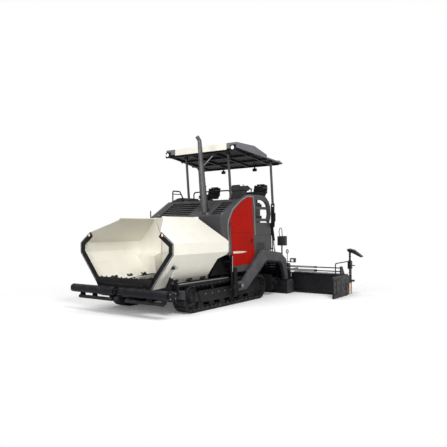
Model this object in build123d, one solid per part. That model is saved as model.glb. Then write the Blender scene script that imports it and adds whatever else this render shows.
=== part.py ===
"""Tracked asphalt paver with a folding hopper, a hinged floating screed and a folding roof.

Millimetres. The machine faces -Y, its left side is +X, and it stands on z = 0.
The middle plane is x = 0. Each node is written to parts/ under its own name.
"""
from build123d import *
from math import atan2, cos, degrees, hypot, pi, radians, sin
import os

os.makedirs("parts", exist_ok=True)

# ---- driving dimensions -------------------------------------------------------------------

RUN_GAP = 0.3            # running gap between a moving piece and its seat

# tracks
TRACK_OUTER_X = 1115.0   # outer face of the shoes
SHOE_WIDTH = 325.0
WHEEL_RADIUS = 262.0     # idler and sprocket
CHAIN_THICK = 24.0
SHOE_THICK = 30.0
IDLER_Y = -2050.0
SPROCKET_Y = 650.0
SHOES_PER_RUN = 17       # shoes on the top run, and as many on the bottom
SHOES_PER_END = 6        # shoes round each wheel
SHOE_FILL = 0.82         # length of a shoe over its pitch
ROLLER_RADIUS = 85.0

# chassis
FRAME_IN_X = 560.0       # inner face of the long side plates
FRAME_WALL = 40.0
FRAME_FRONT_Y = -2700.0
FRAME_REAR_Y = 1250.0
FRAME_LOW_Z = 380.0
TUNNEL_TOP_Z = 1000.0
BODY_X = 1130.0          # side faces of the engine body
BODY_IN_X = 1080.0       # inner faces of its side plates
BODY_NOSE_Y = -620.0     # front edge of the side plates, low down
PLATE = 20.0             # sheet and cover thickness

# hopper
FLAP_Y = -3000.0         # front plane of the wings
FLOOR_Z = 540.0          # top of the conveyor floor
FLOOR_X = 785.0
FLOOR_THICK = 20.0
WING_WALL = 20.0
WING_PIVOT_X = 920.0
WING_PIVOT_Z = 705.0
FLAP_WIDTH = 130.0

# hood
HOOD_FOOT_Y = -1000.0    # where the louvred slope starts
HOOD_FOOT_Z = 2100.0
HOOD_TOP_Y = -300.0      # where it meets the flat top
DECK_Z = 2500.0
DECK_REAR_Y = 1250.0

# roof
ROOF_FRONT_Y = -350.0
ROOF_REAR_Y = 1530.0
ROOF_FRONT_X = 1130.0
ROOF_REAR_X = 1340.0
ROOF_THICK = 45.0
ROOF_BOX_RISE = 150.0    # top of the side boxes over the underside's front edge
POST_RADIUS = 32.0
POST_LENGTH = 1100.0     # from pin to pin
POST_LEAN = 5.0          # degrees, forward
FRONT_POST_X = 680.0
REAR_POST_X = 1200.0
FRONT_POST_FOOT = (20.0, 2570.0)     # (y, z) of the foot's pin
REAR_POST_FOOT = (1235.0, 2440.0)
POST_RISE = POST_LENGTH * cos(radians(POST_LEAN))
ROOF_FRONT_Z = FRONT_POST_FOOT[1] + POST_RISE + 84.2     # underside at the front
ROOF_REAR_Z = REAR_POST_FOOT[1] + POST_RISE - 5.8        # underside at the rear
ROOF_BOX_TOP_Z = ROOF_FRONT_Z + ROOF_BOX_RISE

# screed
TOW_X_IN = 1160.0        # inner face of the tow arms
TOW_X_OUT = 1250.0
TOW_PIVOT_Y = -380.0
TOW_PIVOT_Z = 440.0
SCREED_FRONT_Y = 1830.0
SCREED_HALF_X = 1275.0
SCREED_DEPTH = 420.0
SCREED_HEIGHT = 400.0
SCREED_FLOOR_Z = 0.0
SCREED_GAP = 20.0        # between the main screed and the extensions behind it
EXTENSION_DEPTH = 400.0
EXTENSION_IN_X = 1240.0  # inner end of an extension when it is run right out
EXTENSION_OUT_X = 2740.0
EXTENSION_TOP_Z = 560.0
GATE_THICK = 40.0
WALKWAY_REAR_Y = 3250.0

# push rollers
PUSH_Y = -3160.0
PUSH_Z = 510.0
PUSH_RADIUS = 90.0
PUSH_HALF = 1470.0

# augers
AUGER_Y = 1540.0
AUGER_Z = 330.0
AUGER_RADIUS = 180.0
AUGER_SHAFT = 45.0
AUGER_OUT_X = 1130.0
AUGER_IN_X = 90.0


# ---- helpers ------------------------------------------------------------------------------

def face_of(points):
    """Flat face through corner points given in order."""
    return Face(Wire.make_polygon([Vector(*p) for p in points], close=True))


def prism_x(outline, x0, x1):
    """Outline of (y, z) corners, drawn out along X."""
    return Solid.extrude(face_of([(x0, y, z) for y, z in outline]), Vector(x1 - x0, 0, 0))


def prism_y(outline, y0, y1):
    """Outline of (x, z) corners, drawn out along Y."""
    return Solid.extrude(face_of([(x, y0, z) for x, z in outline]), Vector(0, y1 - y0, 0))


def prism_z(outline, z0, z1):
    """Outline of (x, y) corners, drawn out along Z."""
    return Solid.extrude(face_of([(x, y, z0) for x, y in outline]), Vector(0, 0, z1 - z0))


def block(x0, x1, y0, y1, z0, z1):
    """Box between two corners."""
    return Pos(x0, y0, z0) * Solid.make_box(x1 - x0, y1 - y0, z1 - z0)


def rod(start, end, radius):
    """Round bar between two points."""
    start = Vector(*start)
    span = Vector(*end) - start
    return Solid.make_cylinder(radius, span.length, Plane(origin=start, z_dir=span.normalized()))


def rod_x(x0, x1, y, z, radius):
    """Round bar along X."""
    return rod((x0, y, z), (x1, y, z), radius)


def ring_x(x0, x1, y, z, outer, inner):
    """Tube along X."""
    return rod_x(x0, x1, y, z, outer) - rod_x(x0 - 1, x1 + 1, y, z, inner)


def bent_tube(points, radius, bend):
    """Round tube along a path of points, its corners bent to one radius."""
    path = FilletPolyline(*points, radius=bend)
    return sweep(Plane(origin=path @ 0, z_dir=path % 0) * Circle(radius), path=path)


def offset_line(points, distance):
    """An open run of (a, b) corners, moved to its left by a distance."""
    moved = []
    count = len(points)
    normals = []
    for (a0, b0), (a1, b1) in zip(points, points[1:]):
        length = hypot(a1 - a0, b1 - b0)
        normals.append((-(b1 - b0) / length, (a1 - a0) / length))
    for index, (a, b) in enumerate(points):
        before = normals[max(index - 1, 0)]
        after = normals[min(index, count - 2)]
        scale = distance / (1 + before[0] * after[0] + before[1] * after[1])
        moved.append((a + (before[0] + after[0]) * scale, b + (before[1] + after[1]) * scale))
    return moved


def strip(points, distance):
    """Closed outline of a strip of one thickness along an open run of corners."""
    return points + offset_line(points, distance)[::-1]


def fused(pieces):
    """One solid, or a group of separate ones, from several pieces."""
    whole = pieces[0]
    for piece in pieces[1:]:
        whole = whole + piece
    return whole


def both_sides(shape):
    """A left-hand shape and its mirror image on the right."""
    return fused([shape, shape.mirror(Plane.YZ)])


NODES = {}


def keep(name, shape):
    """Store a node under its own name."""
    NODES[name] = shape


def keep_pair(name, left):
    """Store a left-hand node and its mirrored right-hand twin."""
    NODES[name + "_left"] = left
    NODES[name + "_right"] = left.mirror(Plane.YZ)


# ---- tracks -------------------------------------------------------------------------------

TRACK_IN_X = TRACK_OUTER_X - SHOE_WIDTH
TRACK_MID_X = TRACK_OUTER_X - SHOE_WIDTH / 2
LOOP_RADIUS = WHEEL_RADIUS + RUN_GAP          # inner face of the chain
SHOE_IN_RADIUS = LOOP_RADIUS + CHAIN_THICK
TRACK_RADIUS = SHOE_IN_RADIUS + SHOE_THICK
AXLE_Z = TRACK_RADIUS


def loop_point(share, radius):
    """Point on a racetrack line at a share of its shoes: bottom run, sprocket, top run, idler."""
    counts = (SHOES_PER_RUN, SHOES_PER_END, SHOES_PER_RUN, SHOES_PER_END)
    run = SPROCKET_Y - IDLER_Y
    if share < counts[0]:
        return IDLER_Y + run * share / counts[0], AXLE_Z - radius
    share -= counts[0]
    if share < counts[1]:
        angle = -pi / 2 + pi * share / counts[1]
        return SPROCKET_Y + radius * cos(angle), AXLE_Z + radius * sin(angle)
    share -= counts[1]
    if share < counts[2]:
        return SPROCKET_Y - run * share / counts[2], AXLE_Z + radius
    share -= counts[2]
    angle = pi / 2 + pi * share / counts[3]
    return IDLER_Y + radius * cos(angle), AXLE_Z + radius * sin(angle)


def track_outline():
    """Chain loop with its shoes standing out of it, as corners in (y, z)."""
    corners = []
    for shoe in range(2 * (SHOES_PER_RUN + SHOES_PER_END)):
        first = shoe + (1 - SHOE_FILL) / 2
        last = shoe + (1 + SHOE_FILL) / 2
        corners.append(loop_point(first, SHOE_IN_RADIUS))
        corners.append(loop_point(first, TRACK_RADIUS))
        corners.append(loop_point(last, TRACK_RADIUS))
        corners.append(loop_point(last, SHOE_IN_RADIUS))
    return corners


def racetrack(radius, x0, x1):
    """Solid with straight runs and round ends, the shape inside a track."""
    body = block(x0, x1, IDLER_Y, SPROCKET_Y, AXLE_Z - radius, AXLE_Z + radius)
    body = body + rod_x(x0, x1, IDLER_Y, AXLE_Z, radius)
    return body + rod_x(x0, x1, SPROCKET_Y, AXLE_Z, radius)


track = prism_x(track_outline(), TRACK_IN_X, TRACK_OUTER_X)
keep_pair("track", track - racetrack(LOOP_RADIUS, TRACK_IN_X - 1, TRACK_OUTER_X + 1))

WHEEL_HALF = 60.0
BEAM_HALF = 95.0
BEAM_HALF_Z = 105.0
track_frame = [
    block(TRACK_MID_X - BEAM_HALF, TRACK_MID_X + BEAM_HALF, IDLER_Y + 120, SPROCKET_Y - 120,
          AXLE_Z - BEAM_HALF_Z, AXLE_Z + BEAM_HALF_Z),
    rod_x(TRACK_MID_X - WHEEL_HALF, TRACK_MID_X + WHEEL_HALF, IDLER_Y, AXLE_Z, WHEEL_RADIUS),
    rod_x(TRACK_MID_X - WHEEL_HALF, TRACK_MID_X + WHEEL_HALF, SPROCKET_Y, AXLE_Z, WHEEL_RADIUS),
    rod_x(FRAME_IN_X + FRAME_WALL, TRACK_MID_X + BEAM_HALF, SPROCKET_Y, AXLE_Z, 110),
    rod_x(TRACK_MID_X - BEAM_HALF, TRACK_MID_X + BEAM_HALF + 30, IDLER_Y, AXLE_Z, 60),
]
ROLLERS = 6
ROLLER_SPAN = 2000.0
for index in range(ROLLERS):
    roller_y = (IDLER_Y + SPROCKET_Y) / 2 + ROLLER_SPAN * (index / (ROLLERS - 1) - 0.5)
    low_z = AXLE_Z - WHEEL_RADIUS + ROLLER_RADIUS
    track_frame.append(rod_x(TRACK_MID_X - BEAM_HALF, TRACK_MID_X + BEAM_HALF, roller_y, low_z,
                             ROLLER_RADIUS))
for roller_y in (-1250.0, -150.0):
    high_z = AXLE_Z + WHEEL_RADIUS - 45
    track_frame.append(rod_x(TRACK_MID_X - 70, TRACK_MID_X + 70, roller_y, high_z, 45))
    track_frame.append(block(TRACK_MID_X - 25, TRACK_MID_X + 25, roller_y - 30, roller_y + 30,
                             AXLE_Z + BEAM_HALF_Z - 5, high_z))
for link_y in (-1600.0, 100.0):
    track_frame.append(block(FRAME_IN_X + FRAME_WALL, TRACK_MID_X, link_y - 90, link_y + 90,
                             AXLE_Z - 90, AXLE_Z + 90))
GUARD_X = TRACK_MID_X + BEAM_HALF
track_frame.append(prism_x([(IDLER_Y + 330, AXLE_Z - 130), (SPROCKET_Y - 330, AXLE_Z - 130),
                            (SPROCKET_Y - 240, AXLE_Z + 130), (IDLER_Y + 240, AXLE_Z + 130)],
                           GUARD_X, GUARD_X + PLATE))
keep("track_frames", both_sides(fused(track_frame)))

# ---- chassis ------------------------------------------------------------------------------

FRAME_OUT_X = FRAME_IN_X + FRAME_WALL
TUNNEL_Y = -1050.0       # where the conveyor goes under the engine
side_plate = prism_x([(FRAME_FRONT_Y, FLOOR_Z - FLOOR_THICK), (FRAME_FRONT_Y, FRAME_LOW_Z),
                      (FRAME_REAR_Y, FRAME_LOW_Z), (FRAME_REAR_Y, TUNNEL_TOP_Z),
                      (TUNNEL_Y, TUNNEL_TOP_Z), (TUNNEL_Y, FLOOR_Z - FLOOR_THICK)],
                     FRAME_IN_X, FRAME_OUT_X)
# plate that closes the lower body over the track, behind the wing
LOWER_X = 960.0
lower_plate = prism_x([(-1230, 720), (-520, 720), (-520, 1180), (-860, 1180)],
                      LOWER_X - PLATE, LOWER_X)
LOWER_SHELF_Z = 720.0
shelf = block(FRAME_OUT_X, LOWER_X - PLATE, -1090, 900, LOWER_SHELF_Z, LOWER_SHELF_Z + PLATE)
cross_front = block(-FRAME_IN_X, FRAME_IN_X, FRAME_FRONT_Y, FRAME_FRONT_Y + 60,
                    FRAME_LOW_Z, FLOOR_Z - FLOOR_THICK)
cross_mid = block(-FRAME_IN_X, FRAME_IN_X, -400, -200, FRAME_LOW_Z, FLOOR_Z - FLOOR_THICK)
tunnel_roof = block(-FRAME_IN_X, FRAME_IN_X, TUNNEL_Y, FRAME_REAR_Y, TUNNEL_TOP_Z - PLATE,
                    TUNNEL_TOP_Z)
# nose that carries the push beam, ahead of the floor
NOSE_X = 330.0
nose = block(-NOSE_X, NOSE_X, -2870, FRAME_FRONT_Y, 390, FLOOR_Z - FLOOR_THICK)
PUSH_PIVOT_Y = -2940.0
EAR_RADIUS = 55.0
PUSH_PIN = 40.0
nose = nose + rod((0, PUSH_PIVOT_Y, 400), (0, PUSH_PIVOT_Y, 510), PUSH_PIN)
for ear_z in (395, 495):
    nose = nose + block(-EAR_RADIUS, EAR_RADIUS, PUSH_PIVOT_Y, -2870, ear_z, ear_z + 20)
    nose = nose + rod((0, PUSH_PIVOT_Y, ear_z), (0, PUSH_PIVOT_Y, ear_z + 20), EAR_RADIUS)
# upright guides for the tow points, with the levelling cylinders ahead of them
GUIDE_Y0 = -680.0
GUIDE_Y1 = -565.0
GUIDE_TOP_Z = 885.0
guide = block(TOW_X_IN, TOW_X_OUT, GUIDE_Y0, GUIDE_Y1, 200, GUIDE_TOP_Z)
guide_arm = block(LOWER_X, TOW_X_OUT, GUIDE_Y0 + 20, GUIDE_Y1 - 10, 800, 870)
guide_arm = guide_arm - block(BODY_IN_X, BODY_X, -2000, 2000, 700, 1000)
LEVEL_X = 1205.0
LEVEL_Y = -735.0
LEVEL_BARREL = 38.0
LEVEL_ROD = 24.0
level_barrel = rod((LEVEL_X, LEVEL_Y, 760), (LEVEL_X, LEVEL_Y, 1180), LEVEL_BARREL)
level_barrel = level_barrel - rod((LEVEL_X, LEVEL_Y, 750), (LEVEL_X, LEVEL_Y, 1150),
                                  LEVEL_ROD + RUN_GAP)
level_arm = block(LOWER_X, LEVEL_X, LEVEL_Y - 25, LEVEL_Y + 25, 1000, 1060)
level_arm = level_arm - rod((LEVEL_X, LEVEL_Y, 750), (LEVEL_X, LEVEL_Y, 1200), LEVEL_BARREL - 4)
# brackets for the hopper cylinders' feet
CYL_PIN = 12.0
cyl_bracket = block(985, 1035, -2735, -2640, 500, 600)
cyl_bracket = cyl_bracket + rod((1010, -2810, 560), (1010, -2735, 560), CYL_PIN)
# grey end plates beside the front of each track
end_plate = block(FRAME_OUT_X, 1120, -2640, -2600, 300, 520)
TIE_BORE = 20.0
TIE_Y = -2675.0
TIE_Z = 365.0
tie_lug = block(1090, 1120, TIE_Y - 35, -2640, TIE_Z - 45, 420) - rod_x(1080, 1130, TIE_Y, TIE_Z,
                                                                        TIE_BORE)
end_block = block(960, 1120, -2700, -2640, 420, 520)
# fender plate over each track
FENDER_Z = 650.0
fender = block(945, 1140, -2560, -780, FENDER_Z, FENDER_Z + 16)
fender_lip = block(1120, 1140, -2560, -780, FENDER_Z - 45, FENDER_Z)
fender_front = block(945, 1140, -2600, -2560, 480, FENDER_Z + 16)
fender_arm = block(FRAME_OUT_X, 946, -780, -700, FENDER_Z - 5, LOWER_SHELF_Z + PLATE)
# lugs on the fender that carry the wing's hinge pins
HINGE_PLACES = (-2420.0, -1950.0, -1480.0)
HINGE_LUG_HALF = 25.0
HINGE_PIN_HALF = 85.0
HINGE_PIN = 12.0
hinge_lugs = []
for hinge_y in HINGE_PLACES:
    lug = prism_y([(898, 692), (945, FENDER_Z), (985, FENDER_Z), (985, FENDER_Z + 16), (942, 700)],
                  hinge_y - HINGE_LUG_HALF, hinge_y + HINGE_LUG_HALF)
    lug = lug + rod((WING_PIVOT_X, hinge_y - HINGE_LUG_HALF, WING_PIVOT_Z),
                    (WING_PIVOT_X, hinge_y + HINGE_LUG_HALF, WING_PIVOT_Z), 26)
    lug = lug + rod((WING_PIVOT_X, hinge_y - HINGE_PIN_HALF, WING_PIVOT_Z),
                    (WING_PIVOT_X, hinge_y + HINGE_PIN_HALF, WING_PIVOT_Z), HINGE_PIN)
    hinge_lugs.append(lug)
hinge_lugs = fused(hinge_lugs)
frame_pieces = [both_sides(piece) for piece in
                (side_plate, lower_plate, shelf, fender, fender_lip, fender_front, end_plate, tie_lug,
                 end_block, fender_arm, guide, guide_arm, level_barrel, level_arm, cyl_bracket,
                 hinge_lugs)]
keep("chassis_frame", fused(frame_pieces + [cross_front, cross_mid, tunnel_roof, nose]))

# ---- hopper floor -------------------------------------------------------------------------

floor_plate = block(-FLOOR_X, FLOOR_X, FLAP_Y + 25, TUNNEL_Y, FLOOR_Z - FLOOR_THICK, FLOOR_Z)
floor_tunnel = block(-FRAME_IN_X, FRAME_IN_X, TUNNEL_Y, FRAME_REAR_Y, FLOOR_Z - FLOOR_THICK, FLOOR_Z)
floor_side = prism_x([(FLAP_Y + 30, FLOOR_Z), (FLAP_Y + 30, 555), (-2050, 640), (-1150, 700),
                      (-1150, FLOOR_Z)], FLOOR_X - 15, FLOOR_X)
floor_lip = prism_y([(FLOOR_X - 15, 640), (FLOOR_X, 640), (826, 666), (816, 676)], -1850, -1150)
rear_wall = prism_y([(-FLOOR_X, FLOOR_Z), (FLOOR_X, FLOOR_Z), (FLOOR_X, 1000), (640, 1250),
                     (-640, 1250), (-FLOOR_X, 1000)], -1110, -1090)
tunnel_mouth = block(-FRAME_IN_X + 40, FRAME_IN_X - 40, -1200, -1000, FLOOR_Z, 950)
SLATS = 11
slats = []
for index in range(SLATS):
    slat_y = FLAP_Y + 160 + index * 165
    for side in (-1, 1):
        slats.append(block(min(side * 40, side * 520), max(side * 40, side * 520), slat_y,
                           slat_y + 35, FLOOR_Z, FLOOR_Z + 20))
slats.append(block(-20, 20, FLAP_Y + 120, -1150, FLOOR_Z, FLOOR_Z + 45))
# hinge of the front apron, as places along X
APRON_HINGE_Y = FLAP_Y - 30
APRON_HINGE_Z = 575.0
APRON_PIN = 8.0
APRON_HINGES = (-600.0, -200.0, 200.0, 600.0)
apron_lugs = []
for hinge_x in APRON_HINGES:
    for ear_x in (hinge_x - 30, hinge_x + 20):
        apron_lugs.append(prism_x([(FLAP_Y + 30, FLOOR_Z - FLOOR_THICK), (FLAP_Y + 30, FLOOR_Z),
                                   (APRON_HINGE_Y + 10, APRON_HINGE_Z + 10),
                                   (APRON_HINGE_Y - 10, APRON_HINGE_Z + 10),
                                   (APRON_HINGE_Y - 10, APRON_HINGE_Z - 10)], ear_x, ear_x + 10))
    apron_lugs.append(rod_x(hinge_x - 25, hinge_x + 25, APRON_HINGE_Y, APRON_HINGE_Z, APRON_PIN))
# upright rear wall between the wings, leaning forward at its top
BACK_LINE = [(-1110, 1230), (-1110, 1560), (-1335, 2080)]
BACK_HALF = 612.0
BACK_THICK = 15.0
hopper_back = prism_x(strip(BACK_LINE, BACK_THICK), -BACK_HALF, BACK_HALF)
keep("hopper_back", hopper_back - rear_wall)
keep("hopper_floor", fused([floor_plate, floor_tunnel, both_sides(floor_side),
                            both_sides(floor_lip), rear_wall - tunnel_mouth] + slats +
                           apron_lugs))

# ---- hopper wings -------------------------------------------------------------------------

# cross-section corners of a wing's outer face, from its foot to its ridge, as (x, z)
WING_LINE = [(805, 572), (1396, 1288), (1396, 1519), (700, 2030)]
FLAP_LINE = [(805, 572), (1396, 1288), (1396, 1519), (1076, 1754)]
WING_RIDGE_REAR_Z = 2110.0
WING_REAR_Y = -1120.0
wing_section = prism_y(strip(WING_LINE[:3] + [(640, 2074)], WING_WALL), FLAP_Y + 20, WING_REAR_Y)
wing_side = prism_x([(FLAP_Y + 19, 560), (-1320, 715), (-1380, 1140), (WING_REAR_Y, 1230),
                     (WING_REAR_Y, 1560), (-1350, WING_RIDGE_REAR_Z), (-1350, 2200),
                     (-2500, 2200), (-2500, 2020), (FLAP_Y + 19, 1762)], 600, 1500)
wing = wing_section & wing_side
KNUCKLE = 24.0
for hinge_y in HINGE_PLACES:
    wing = wing - rod((WING_PIVOT_X, hinge_y - HINGE_LUG_HALF - 8, WING_PIVOT_Z),
                      (WING_PIVOT_X, hinge_y + HINGE_LUG_HALF + 8, WING_PIVOT_Z), 42)
    for side in (-1, 1):
        near_y = hinge_y + side * (HINGE_LUG_HALF + 8)
        far_y = hinge_y + side * HINGE_PIN_HALF
        wing = wing + rod((WING_PIVOT_X, near_y, WING_PIVOT_Z), (WING_PIVOT_X, far_y, WING_PIVOT_Z),
                          KNUCKLE)
        wing = wing - rod((WING_PIVOT_X, near_y - side, WING_PIVOT_Z),
                          (WING_PIVOT_X, far_y + side, WING_PIVOT_Z), HINGE_PIN + RUN_GAP)
# lugs on each side of the hopper cylinder's rod eye
HOPPER_CYL_Y = -2780.0
HOPPER_CYL_FOOT = (1010.0, 560.0)
HOPPER_CYL_EYE = (1235.0, 1020.0)
EYE_HALF_Y = 22.0
LUG_LINE = [(1130, 985), (1235, 986), (1269, 1020), (1235, 1054), (1180, 1062)]
for side in (-1, 1):
    near_y, far_y = sorted((HOPPER_CYL_Y + side * (EYE_HALF_Y + 6), HOPPER_CYL_Y + side * 46))
    wing = wing + prism_y(LUG_LINE, near_y, far_y)
# rear end wall of the wing, along the edge of its skin
END_LINE = [(-1320, 720), (-1376, 1136), (-1128, 1222), (-1128, 1558), (-1352, 2095)]
END_THICK = 15.0
END_IN_X = 632.0
inside = prism_y(WING_LINE[:3] + [(640, 2074), (END_IN_X, 2068), (END_IN_X, 572)], -1500, -1000)
wing = wing + (prism_x(strip(END_LINE, END_THICK), END_IN_X, 1500) & inside)
keep_pair("wing", wing)
flap = prism_y(strip(FLAP_LINE, FLAP_WIDTH), FLAP_Y, FLAP_Y + 20)
keep_pair("wing_flap", flap)

# front apron between the wings, hinged at the floor's front edge
APRON_HALF = 735.0
APRON_TOP_Z = 780.0
APRON_FOOT_Z = 575.0
apron = prism_y([(-APRON_HALF, APRON_FOOT_Z), (APRON_HALF, APRON_FOOT_Z), (APRON_HALF + 60, 600),
                 (APRON_HALF + 120, APRON_TOP_Z), (-APRON_HALF - 120, APRON_TOP_Z),
                 (-APRON_HALF - 60, 600)], FLAP_Y - 40, FLAP_Y - 20)
for hinge_x in APRON_HINGES:
    for side in (-1, 1):
        cut_x0, cut_x1 = sorted((hinge_x + side * 14, hinge_x + side * 38))
        apron = apron - block(cut_x0, cut_x1, FLAP_Y - 60, FLAP_Y, APRON_FOOT_Z - 10, APRON_FOOT_Z + 25)
    apron = apron + rod_x(hinge_x - 12, hinge_x + 12, APRON_HINGE_Y, APRON_HINGE_Z, 14)
    apron = apron - rod_x(hinge_x - 40, hinge_x + 40, APRON_HINGE_Y, APRON_HINGE_Z,
                          APRON_PIN + RUN_GAP)
keep("front_apron", apron)

# ---- hopper cylinders ---------------------------------------------------------------------



def along(start, end, distance):
    """Point on a line of (x, z) at a distance from its start."""
    length = hypot(end[0] - start[0], end[1] - start[1])
    share = distance / length
    return start[0] + (end[0] - start[0]) * share, start[1] + (end[1] - start[1]) * share


def cyl_point(distance):
    """Point on the hopper cylinder's line."""
    x, z = along(HOPPER_CYL_FOOT, HOPPER_CYL_EYE, distance)
    return x, HOPPER_CYL_Y, z


foot_x, foot_z = HOPPER_CYL_FOOT
eye_x, eye_z = HOPPER_CYL_EYE
cyl_length = hypot(eye_x - foot_x, eye_z - foot_z)
barrel = rod(cyl_point(30), cyl_point(280), 40) - rod(cyl_point(60), cyl_point(290), 22 + RUN_GAP)
barrel = barrel + rod((foot_x, HOPPER_CYL_Y - 30, foot_z), (foot_x, HOPPER_CYL_Y + 40, foot_z), 38)
barrel = barrel - rod((foot_x, HOPPER_CYL_Y - 50, foot_z), (foot_x, HOPPER_CYL_Y + 50, foot_z),
                      CYL_PIN + RUN_GAP)
keep_pair("hopper_cylinder", barrel)
piston = rod(cyl_point(175), cyl_point(cyl_length - 20), 22)
piston = piston + rod((eye_x, HOPPER_CYL_Y - EYE_HALF_Y, eye_z),
                      (eye_x, HOPPER_CYL_Y + EYE_HALF_Y, eye_z), 34)
keep_pair("hopper_rod", piston)

# ---- push beam and rollers ----------------------------------------------------------------

beam = block(-1180, 1180, PUSH_Y + 105, PUSH_Y + 150, 400, 500)
beam = beam + block(-250, 250, PUSH_Y + 100, PUSH_Y + 150, 375, 530)
beam = beam + block(-55, 55, PUSH_Y + 100, PUSH_PIVOT_Y, 420, 490)
beam = beam + rod((0, PUSH_PIVOT_Y, 420), (0, PUSH_PIVOT_Y, 490), 58)
beam = beam - rod((0, PUSH_PIVOT_Y, 380), (0, PUSH_PIVOT_Y, 540), PUSH_PIN + RUN_GAP)
for side in (-1, 1):
    for bracket_x in (60, PUSH_HALF - 30):  # end plates that carry the rollers
        low, high = sorted((side * bracket_x, side * (bracket_x + 30)))
        beam = beam + (block(low, high, PUSH_Y - 60, PUSH_Y + 150, PUSH_Z - 60, PUSH_Z + 50))
    low, high = sorted((side * 1150, side * (PUSH_HALF)))
    beam = beam + block(low, high, PUSH_Y + 105, PUSH_Y + 150, 450, 500)
    low, high = sorted((side * 200, side * 1250))
    beam = beam + rod_x(low, high, PUSH_Y + 20, 330, 38)
    for hang_x in (260, 800, 1200):
        low, high = sorted((side * hang_x, side * (hang_x + 25)))
        beam = beam + block(low, high, PUSH_Y + 10, PUSH_Y + 140, 320, 420)
HITCH_BORE = 25.0
HITCH_Z = 350.0
hitch = block(-20, 20, PUSH_Y - 80, PUSH_Y + 105, HITCH_Z - 60, 400)
hitch = hitch + block(-20, 20, PUSH_Y + 60, PUSH_Y + 150, 375, 430)
hitch = hitch - rod_x(-30, 30, PUSH_Y - 40, HITCH_Z, HITCH_BORE)
beam = beam + hitch
keep("push_beam", beam)
roller = rod_x(60 + 30 + 3, PUSH_HALF - 33, PUSH_Y, PUSH_Z, PUSH_RADIUS)
shaft = rod_x(60, PUSH_HALF, PUSH_Y, PUSH_Z, 28)
NODES["push_beam"] = NODES["push_beam"] - both_sides(rod_x(50, PUSH_HALF + 10, PUSH_Y, PUSH_Z,
                                                           28 + RUN_GAP))
keep_pair("push_roller", roller + shaft)

# ---- engine body and hood -----------------------------------------------------------------

DOOR_THICK = 30.0
DOOR_GAP = 8.0
# door outline as (y, z), from the low front corner round by the top
DOOR_LINE = [(-545, 900), (-590, 1250), (-655, 1980), (-600, 2140), (-390, 2315), (-90, 2500),
             (120, 2590), (240, 2615), (310, 2595), (345, 2080), (415, 1300), (415, 1130), (200, 930)]
# the side stands above the deck beside the door's top, as (y, z)
SIDE_CREST = [(-230, DECK_Z + 20), (60, 2640), (200, 2662), (480, 2662)]
# body side as (y, z)
BODY_LINE = [(-1000, 1180), (-1000, HOOD_FOOT_Z), (HOOD_TOP_Y, DECK_Z + 20)] + SIDE_CREST + [
    (480, 1950), (1250, 1950), (1250, 1230), (980, 1190), (330, 760), (BODY_NOSE_Y, 760),
    (BODY_NOSE_Y, 1180)]
body_side = prism_x(BODY_LINE, BODY_IN_X, BODY_X)
door_frame_hole = prism_x(offset_line(DOOR_LINE + [DOOR_LINE[0]], DOOR_GAP)[:-1],
                          BODY_X - DOOR_THICK - 1, BODY_X + 1)
door_inner_hole = prism_x(offset_line(DOOR_LINE + [DOOR_LINE[0]], -60)[:-1],
                          BODY_IN_X - 1, BODY_X)
# door hinges: pins on the body, barrels on the door, on one upright axis in front of its edge
DOOR_HINGE_X = BODY_X + 16
DOOR_HINGE_Y = -672.0
DOOR_PIN = 7.0
DOOR_BARREL = 13.0
DOOR_HINGES = (1180.0, 1900.0)   # middle heights
body_sides = body_side - door_frame_hole - door_inner_hole
side_door = prism_x(DOOR_LINE, BODY_X - DOOR_THICK, BODY_X)
for hinge_z in DOOR_HINGES:
    pin = rod((DOOR_HINGE_X, DOOR_HINGE_Y, hinge_z - 70), (DOOR_HINGE_X, DOOR_HINGE_Y, hinge_z + 70),
              DOOR_PIN)
    body_sides = body_sides + pin
    for ear_z in (hinge_z - 70, hinge_z + 40):
        body_sides = body_sides + block(BODY_X - 5, DOOR_HINGE_X + 8, DOOR_HINGE_Y - 14,
                                        DOOR_HINGE_Y + 6, ear_z, ear_z + 30)
    barrel_ends = ((DOOR_HINGE_X, DOOR_HINGE_Y, hinge_z - 34), (DOOR_HINGE_X, DOOR_HINGE_Y, hinge_z + 34))
    side_door = side_door + rod(*barrel_ends, DOOR_BARREL)
    side_door = side_door + block(BODY_X + 6, BODY_X + 12, DOOR_HINGE_Y, -520, hinge_z - 30, hinge_z + 30)
    side_door = side_door + block(BODY_X - 1, BODY_X + 7, -560, -520, hinge_z - 30, hinge_z + 30)
    side_door = side_door - rod((DOOR_HINGE_X, DOOR_HINGE_Y, hinge_z - 80),
                                (DOOR_HINGE_X, DOOR_HINGE_Y, hinge_z + 80), DOOR_PIN + RUN_GAP)
keep("body_sides", both_sides(body_sides))
keep_pair("side_door", side_door)

SIDE_IN_X = BODY_IN_X
HOOD_WALL = 25.0
slope_rise = (DECK_Z + 20 - HOOD_FOOT_Z) / (HOOD_TOP_Y - HOOD_FOOT_Y)
hood_outline = [(HOOD_FOOT_Y, 1180), (HOOD_FOOT_Y, HOOD_FOOT_Z), (HOOD_TOP_Y, DECK_Z + 20),
                (480, DECK_Z + 20)]
hood = prism_x(strip(hood_outline, -HOOD_WALL), -SIDE_IN_X, SIDE_IN_X)
# grille openings as (x0, x1)
GRILLES = [(-850, 100), (740, 1040)]
GRILLE_LOW_Y = HOOD_FOOT_Y + 60
GRILLE_HIGH_Y = HOOD_TOP_Y - 90


def slope_z(y):
    """Height of the hood's slope at a place along the machine."""
    return HOOD_FOOT_Z + (y - HOOD_FOOT_Y) * slope_rise


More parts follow.
